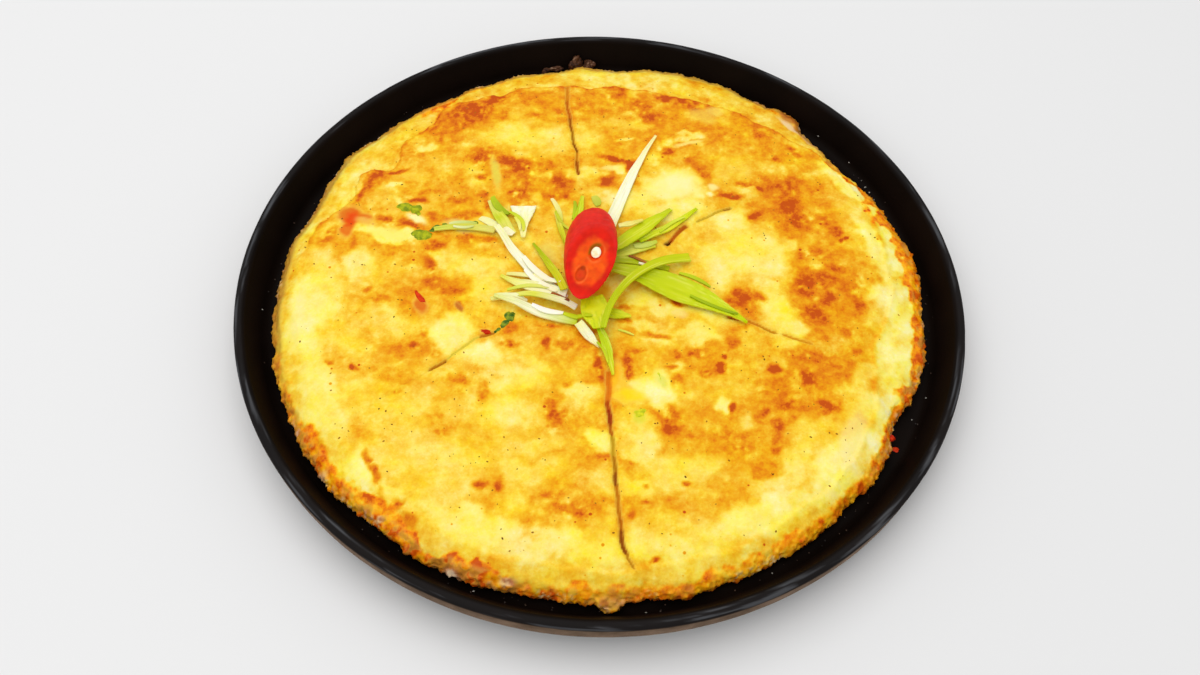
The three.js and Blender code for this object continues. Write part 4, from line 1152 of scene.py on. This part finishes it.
# Slivers. The finest strands that fell off the shreds as they were cut, lying among them and on the crust,
# and two dark brown lines drawn the same way beside pale strands.
# Each: its line from start to end, how far it bows to the left, its width, and its colour at either end.
SLIVERS = [
    (-31, 9, -16, -4, -1.5, 2.6, "#fdf9dc", "#fbf6cc"), (-37, 1, -19, -3, 1.5, 2.0, "#e8e47c", "#fbf6c4"),
    (-30, 3, -17, -8, -1, 2.2, "#fffce4", "#fbf4c0"), (-44, 27, -36, 21, -1, 4.2, "#f6f0a4", "#fdf9d0"),
    (-50, 29, -42, 23, 1, 3.4, "#f2eea0", "#f8f4b4"),
    (-46, 40, -38.4, 31.4, -1.5, 3.0, "#b8c818", "#9cb00a"),
    (-38.4, 32, -32, 22, 2, 1.8, "#c8d41c", "#dcdf40"),
    (-36, 29, -33.4, 22, 0.6, 1.4, "#e6e450", "#f2ee90"),
    (-22, 41, -17.4, 28, 1, 2.0, "#f2ea9c", "#e4e04c"), (-20, 34, -14, 25, -1, 1.4, "#c0c81c", "#d8d83c"),
    (-5, 43, -3, 38, 0.4, 3.4, "#cfd04c", "#bcc438"), (-12.6, 40, -13, 31, 0.6, 1.6, "#a8bc10", "#c4d018"),
    (6, 28, 13, 30, 0.6, 1.3, "#eeeaa0", "#e0dc60"), (12, 17, 21, 20, -0.6, 2.6, "#cfd86c", "#c4cf40"),
    (10, 11, 18, 8, 0.6, 1.0, "#8a4a18", "#c07a28"), (14, 8.4, 18, 7.6, 0.2, 1.2, "#fdf4d0", "#f4e4b0"),
    (-36, -7.6, -20, -6.6, 1.6, 1.6, "#d2da3c", "#e4e478"),
    (-40, -10, -28, -12, 0.6, 2.0, "#e8eca0", "#f8f6c0"),
    (-26, -14.6, -14, -17, -0.6, 2.2, "#fffcf0", "#fdfae0"),
    (-14, -17, -3, -19, -0.4, 1.8, "#c8d414", "#b8c80c"),
    (-19, -9, -12, -13, 0.4, 1.5, "#a85c18", "#7c3a10"), (7, -22, 13, -24, 0.3, 0.8, "#d8dc40", "#e0e058"),
    (22, 24, 32, 33, 1, 1.2, "#c8d820", "#dce448"), (30, 6, 42, 0, 1, 1.6, "#c4d414", "#b0c40c"),
    (34, -6, 52, -14, -0.6, 1.3, "#a8bc08", "#94a80c"), (-62, 25, -51, 26, 0.8, 1.6, "#dfe49c", "#c0cc50"),
    (-60, 23, -52, 23.6, -0.6, 1.2, "#e8eab0", "#d0d878"),
    (-0.6, -29, 3.6, -38, 0.6, 1.0, "#b0c408", "#d0d820"),
]
SLIVER_STEPS = 14
SLIVER_THICK = 0.5
SLIVER_LIFT = 0.15
SLIVER_ROUND = 0.25
BED_STEPS = 5


def arch(part, rise):
    """How far a line has bowed to one side, this part of the way along it."""
    return rise * 4 * part * (1 - part)


lie_on = crust_tops + surfaces(shreds)
strands = []
for x1, y1, x2, y2, bow_left, wide, start_colour, end_colour in SLIVERS:
    clear_selection()
    bpy.ops.mesh.primitive_cube_add(size=1)
    strand = bpy.context.object
    open_mesh()
    bpy.ops.mesh.subdivide(number_cuts=SLIVER_STEPS)
    close_mesh()
    points = places(strand) * MM
    part = points[:, 0] + 0.5
    aside = points[:, 1] * wide * (0.25 + 0.75 * np.sin(math.pi * np.clip(part * 0.86 + 0.1, 0, 1)) ** 0.6)
    start, end = np.array((x1, y1)), np.array((x2, y2))
    left = np.array((y1 - y2, x2 - x1)) / math.dist(start, end)
    steps = np.linspace(0, 1, SLIVER_STEPS + 2)
    line = start + (end - start) * steps[:, None] + left * arch(steps, bow_left)[:, None]
    beds = np.array([top_of(lie_on, x, y) for x, y in line])
    beds = np.pad(np.maximum(beds, beds.mean()), BED_STEPS // 2, mode="edge")
    beds = np.convolve(beds, np.ones(BED_STEPS) / BED_STEPS, mode="valid")
    points[:, 2] *= SLIVER_THICK
    points[:, 2] += np.interp(part, steps, beds) + SLIVER_LIFT + SLIVER_THICK / 2
    points[:, 2] -= SLIVER_ROUND * aside ** 2 / wide
    aside += arch(part, bow_left)
    points[:, :2] = start + (end - start) * part[:, None] + left * aside[:, None]
    put(strand, points)
    first, last = np.array(linear(start_colour)), np.array(linear(end_colour))
    brush(strand, "leaf_colour", first + (last - first) * part[:, None])
    strands.append(strand)
slivers = join(strands)
smooth(slivers, 50)
hand_over(slivers, "onion_slivers", onion_skins["onion_green"], "onion_green")


# Chilli. One slice cut slantwise through a red chilli with a wet knife: smooth skin on the slope behind, a
# thick red wall, and an orange middle with two seed hollows, one of which still holds its seed.
CHILLI_AT = (-5.4, 7.6)
CHILLI_TURN = math.radians(78.5 - 90)
CHILLI_TILT = math.radians(8)
CHILLI_WIDE = 19.8
CHILLI_FACE = 34.0
CHILLI_THICK = 7.5
CHILLI_SLANT = (4.0, 12.0)
FACE_MIDDLE = np.array((2.0, -6.0))
HOLLOWS = [(1.1, 4.6, 8.4, 5.8), (-2.2, -6.2, 7.0, 4.4)]
CHILLI_VOXEL = 0.3
PIT_FILL = 0.9


def in_slice(points, level):
    """The slice's own frame, with the long side of its face on Y and its middle at this height."""
    away = points - (*CHILLI_AT, level)
    x = away[:, 0] * math.cos(CHILLI_TURN) + away[:, 1] * math.sin(CHILLI_TURN)
    y = away[:, 1] * math.cos(CHILLI_TURN) - away[:, 0] * math.sin(CHILLI_TURN)
    along = y * math.cos(CHILLI_TILT) + away[:, 2] * math.sin(CHILLI_TILT)
    up = away[:, 2] * math.cos(CHILLI_TILT) - y * math.sin(CHILLI_TILT)
    return np.stack([x, along, up], axis=1)


chilli = copy_of("chilli_slice")
modify(chilli, "REMESH", mode="VOXEL", voxel_size=CHILLI_VOXEL * MM)
modify(chilli, "SMOOTH", factor=0.5, iterations=9)
points = places(chilli)
own = in_slice(points, 0)
chilli_level = (own[:, 2].max() + own[:, 2].min()) / 2 / math.cos(CHILLI_TILT)
own = in_slice(points, chilli_level)
facing = outward(chilli)
level = own[:, 2] / CHILLI_THICK
u = own[:, 0] - CHILLI_SLANT[0] * level
v = own[:, 1] + CHILLI_SLANT[1] * level
ring = np.hypot(u / (CHILLI_WIDE / 2), v / (CHILLI_FACE / 2))
on_face = ease(own[:, 2], CHILLI_THICK / 2 - 2.6, CHILLI_THICK / 2 - 0.5) * ease(1.0 - ring, 0, 0.16)
slack = mottle(own, 5, 3, 91)
ridge = 0.1 * np.exp(-((ring - 0.8 + 0.03 * slack) / 0.06) ** 2)
veins = 0.16 * mottle(own * (1, 0.6, 1), 3.2, 2, 92)
points += facing * (on_face * (ridge + veins * (ring < 0.78)) + (1 - on_face) * 0.12 * slack)[:, None]
face_x, face_y = own[:, 0] - FACE_MIDDLE[0], own[:, 1] - FACE_MIDDLE[1]
lower_pit = np.hypot((face_x + 2.2) / 2.2, (face_y + 6.2) / 3.5)
points[:, 2] += PIT_FILL * (1 - ease(lower_pit, 0.3, 1.1)) * (own[:, 2] > CHILLI_THICK / 2 - 2.4)
put(chilli, points)

# Red skin and wall, an orange middle, hollows painted darker, partly with painted shade, with a light vein
# round each, a brown mark, and an olive-brown crescent of painted shade round the upper hollow.
paint = np.tile(linear("#dc261c"), (len(points), 1))
wash(paint, "#dc1a02", on_face)
core = on_face * ease(0.74 + 0.1 * slack - ring, 0, 0.22)
wash(paint, "#fa6204", core * (0.62 + 0.38 * mottle(own, 4, 3, 93)))
for x, y, long, wide in HOLLOWS:
    pit = np.hypot((face_x - x) / (wide / 2), (face_y - y) / (long / 2))
    # Painted shade, on top of the flesh's own colour: the hollows are darker.
    wash(paint, "#d23e06" if y < 0 else "#e8480c", on_face * (1 - ease(pit, 0.75, 1.05)))
    border = on_face * np.exp(-((pit - 1.12) / 0.13) ** 2)
    wash(paint, "#fb7a34", 0.45 * border * ease(mottle(own, 4, 2, 94), -0.2, 0.4))
dot = np.hypot(face_x + 2.0, face_y + 3.4)
wash(paint, "#7c3206", 0.5 * on_face * (1 - ease(dot, 0.6, 1.3)))
# Painted shade: an olive-brown crescent on one side of the upper hollow.
x, y = face_x - HOLLOWS[0][0], face_y - HOLLOWS[0][1]
seed_hollow_shade = np.exp(-((np.hypot(x / 2.4, y / 3.4) - 1.0) / 0.22) ** 2) * ease(y - 1.4 * x, 0.6, 2.6)
wash(paint, "#8a6408", 0.85 * on_face * seed_hollow_shade)
paint[:, :3] *= (1 + 0.18 * mottle(own, 3, 3, 95))[:, None]
brush(chilli, "flesh_colour", np.clip(paint, 0, 1))
smooth(chilli)

# Chilli flesh, cut and wet: deep red, a soft gloss, light a little way through the thin walls.
chilli_flesh, tree, shader = surface("red_chilli_cut_wet")
colour = add(tree, "Attribute", attribute_name="flesh_colour").outputs["Color"]
feed(shader, {
    "Base Color": colour, "Roughness": 0.42, "Specular IOR Level": 0.08,
    "Subsurface Weight": 0.1, "Subsurface Radius": (1.0, 0.25, 0.1), "Subsurface Scale": 1.2 * MM,
})
hand_over(chilli, "chilli_round", chilli_flesh, "chilli_flesh", "chilli_slice")

seed = copy_of("chilli_seed")
modify(seed, "SUBSURF", levels=2, render_levels=2)
points = places(seed)
points += outward(seed) * (0.12 * mottle(points, 2, 2, 96))[:, None]
put(seed, points)
smooth(seed)

# Chilli seed: a flat husk, ivory with a browner rim, smooth and wet.
seed_tones = [(0.35, "#f6d596"), (0.55, "#fff8d6")]
seed_husk = toned("chilli_seed_husk", seed_tones, {"Roughness": 0.3}, 2.5)
hand_over(seed, "chilli_seed_husk", seed_husk, "chilli_seed", "chilli_seed")


# Spatter. Drops of frying oil, crumbs of crust and scraps of batter on the bare rim of the plate: the oil and
# the crumbs fell there, and the scraps ran off the round at the back and burnt on.
DROPS = [
    (91.7, 93.2), (104.2, 78.6), (109.1, 69.6), (110.5, 66.3), (112, 63.5), (113.7, 59.7), (77.5, -98.8),
    (123.9, -39.1), (118, -48), (-130.6, -14.5), (-38, -124), (20, -129), (63, -112), (115, 50), (127, 8),
]


def floor_under(x, y):
    """Height of the plate's floor or cove at a place, in millimetres."""
    return FLOOR_Z + (COVE[1] - FLOOR_Z) * max(0, (math.hypot(x, y) - FLOOR_R) / (COVE[0] - FLOOR_R)) ** 2


CRUMB_COUNT = 120
CRUMB_RING = (126.5, 131)
CRUMB_LONG = (0.25, 0.8)
DROP_LONG = (0.7, 1.3)
random.seed(8)
drop_spots = [(x, y, floor_under(x, y), random.uniform(*DROP_LONG), random.uniform(0, 180)) for x, y in DROPS]
crumb_spots = []
for _ in range(CRUMB_COUNT):
    turn = random.uniform(0, 2 * math.pi)
    reach = random.uniform(*CRUMB_RING)
    x, y = reach * math.cos(turn), reach * math.sin(turn)
    crumb_spots.append((x, y, floor_under(x, y) + 0.1, random.uniform(*CRUMB_LONG), random.uniform(0, 180)))

# Each scrap: x, y, length, width, height, and the way it points.
SCRAPS = [
    (-16.5, 129.4, 7.5, 6.0, 7.5, 70), (-10.4, 129.6, 5.5, 5.0, 6.0, 20), (-13.5, 127.6, 9.0, 4.0, 5.0, 0),
    (-30.0, 126.4, 4.0, 2.6, 2.4, 20), (-25.4, 127.6, 6.0, 2.4, 2.4, 8),
]
scraps = []
for x, y, length, width, tall, heading in SCRAPS:
    place = (x, y, floor_under(x, y) + 0.3 * tall)
    scraps.append(lump(place, (length, width, tall), heading, 5, 0.5, 0.45, 4))
burnt_scrap = join(scraps)
smooth(burnt_scrap)

# Burnt batter: brown to nearly black, a little glassy with oil, with pale dry spots.
burnt_tones = [(0.36, "#1c0c07"), (0.56, "#52301a"), (0.74, "#9c7c62")]
burnt_finish = {"Roughness": 0.5, "Specular IOR Level": 0.15}
burnt_batter = toned("batter_burnt_on", burnt_tones, burnt_finish, 2.6, 4.0, 0.7)
hand_over(burnt_scrap, "burnt_scraps", burnt_batter, "crust")

# Frying oil, clear pale gold, set in small beads and glossy, so that each bead holds one bright point. The
# beads are coloured pale grey as a painted highlight.
oil_glint_tones = [(0.4, "#6b675c"), (0.6, "#a8a49a")]
oil_bead = toned("frying_oil_bead_painted_glint", oil_glint_tones, {"Roughness": 0.12}, 3)
scatter("oil_drops", drop_spots, oil_bead, "cast_iron")

# Crust crumbs: fried hard and dark brown, matt.
crumb_tones = [(0.4, "#1d130c"), (0.6, "#4a3220")]
burnt_crumb = toned("crust_crumb_fried_hard", crumb_tones, {"Roughness": 0.6}, 6)
scatter("crust_crumbs", crumb_spots, burnt_crumb, "cast_iron")


# Floor, light and camera. A plain pale table, a broad soft light overhead, a small one in front, and the
# photograph's own view, which looks down on the plate from the diner's side with the head a little tilted.
TABLE_WIDE = 6.0
clear_selection()
bpy.ops.mesh.primitive_plane_add(size=TABLE_WIDE, location=(0, 0, 0))
table = bpy.context.object
table.name = "table_top"
plain_table, tree, shader = surface("table_top_matt_paint")
feed(shader, {"Base Color": linear("#e6e6e6"), "Roughness": 0.9, "Specular IOR Level": 0.1})
table.data.materials.append(plain_table)

world = bpy.data.worlds.new("studio")
world.use_nodes = True
feed(world.node_tree.nodes["Background"], {"Color": linear("#ffffff"), "Strength": 0.72})
bpy.context.scene.world = world


def soft_light(name, place, size, watts):
    """A square lamp that shines at the middle of the plate."""
    data = bpy.data.lights.new(name, "AREA")
    data.size = size
    data.energy = watts
    lamp = new_piece(name, data)
    lamp.location = place
    lamp.rotation_euler = (-Vector(place)).to_track_quat("-Z", "Y").to_euler()


soft_light("overhead_softbox", (-0.22, 0.3, 1.25), 1.4, 7.4)
soft_light("front_lamp", (-0.42, -0.75, 0.8), 0.4, 1.2)

AIM = Vector((0.31, -26.46, 18.0)) * MM
CAMERA_AWAY = 440 * MM
CAMERA_UP = math.radians(55.61)
CAMERA_ROLL = math.radians(2.743)
CAMERA_LENS = 35.27
CAMERA_SENSOR = 36
back = Vector((0, -math.cos(CAMERA_UP), math.sin(CAMERA_UP)))
camera_data = bpy.data.cameras.new("camera")
camera_data.lens = CAMERA_LENS
camera_data.sensor_width = CAMERA_SENSOR
camera_data.clip_start = 10 * MM
camera = new_piece("camera", camera_data)
turn = back.to_track_quat("Z", "Y").to_matrix() @ Matrix.Rotation(CAMERA_ROLL, 3, "Z")
camera.matrix_world = Matrix.Translation(AIM + CAMERA_AWAY * back) @ turn.to_4x4()
bpy.context.scene.camera = camera
bpy.context.scene.view_settings.view_transform = "Standard"
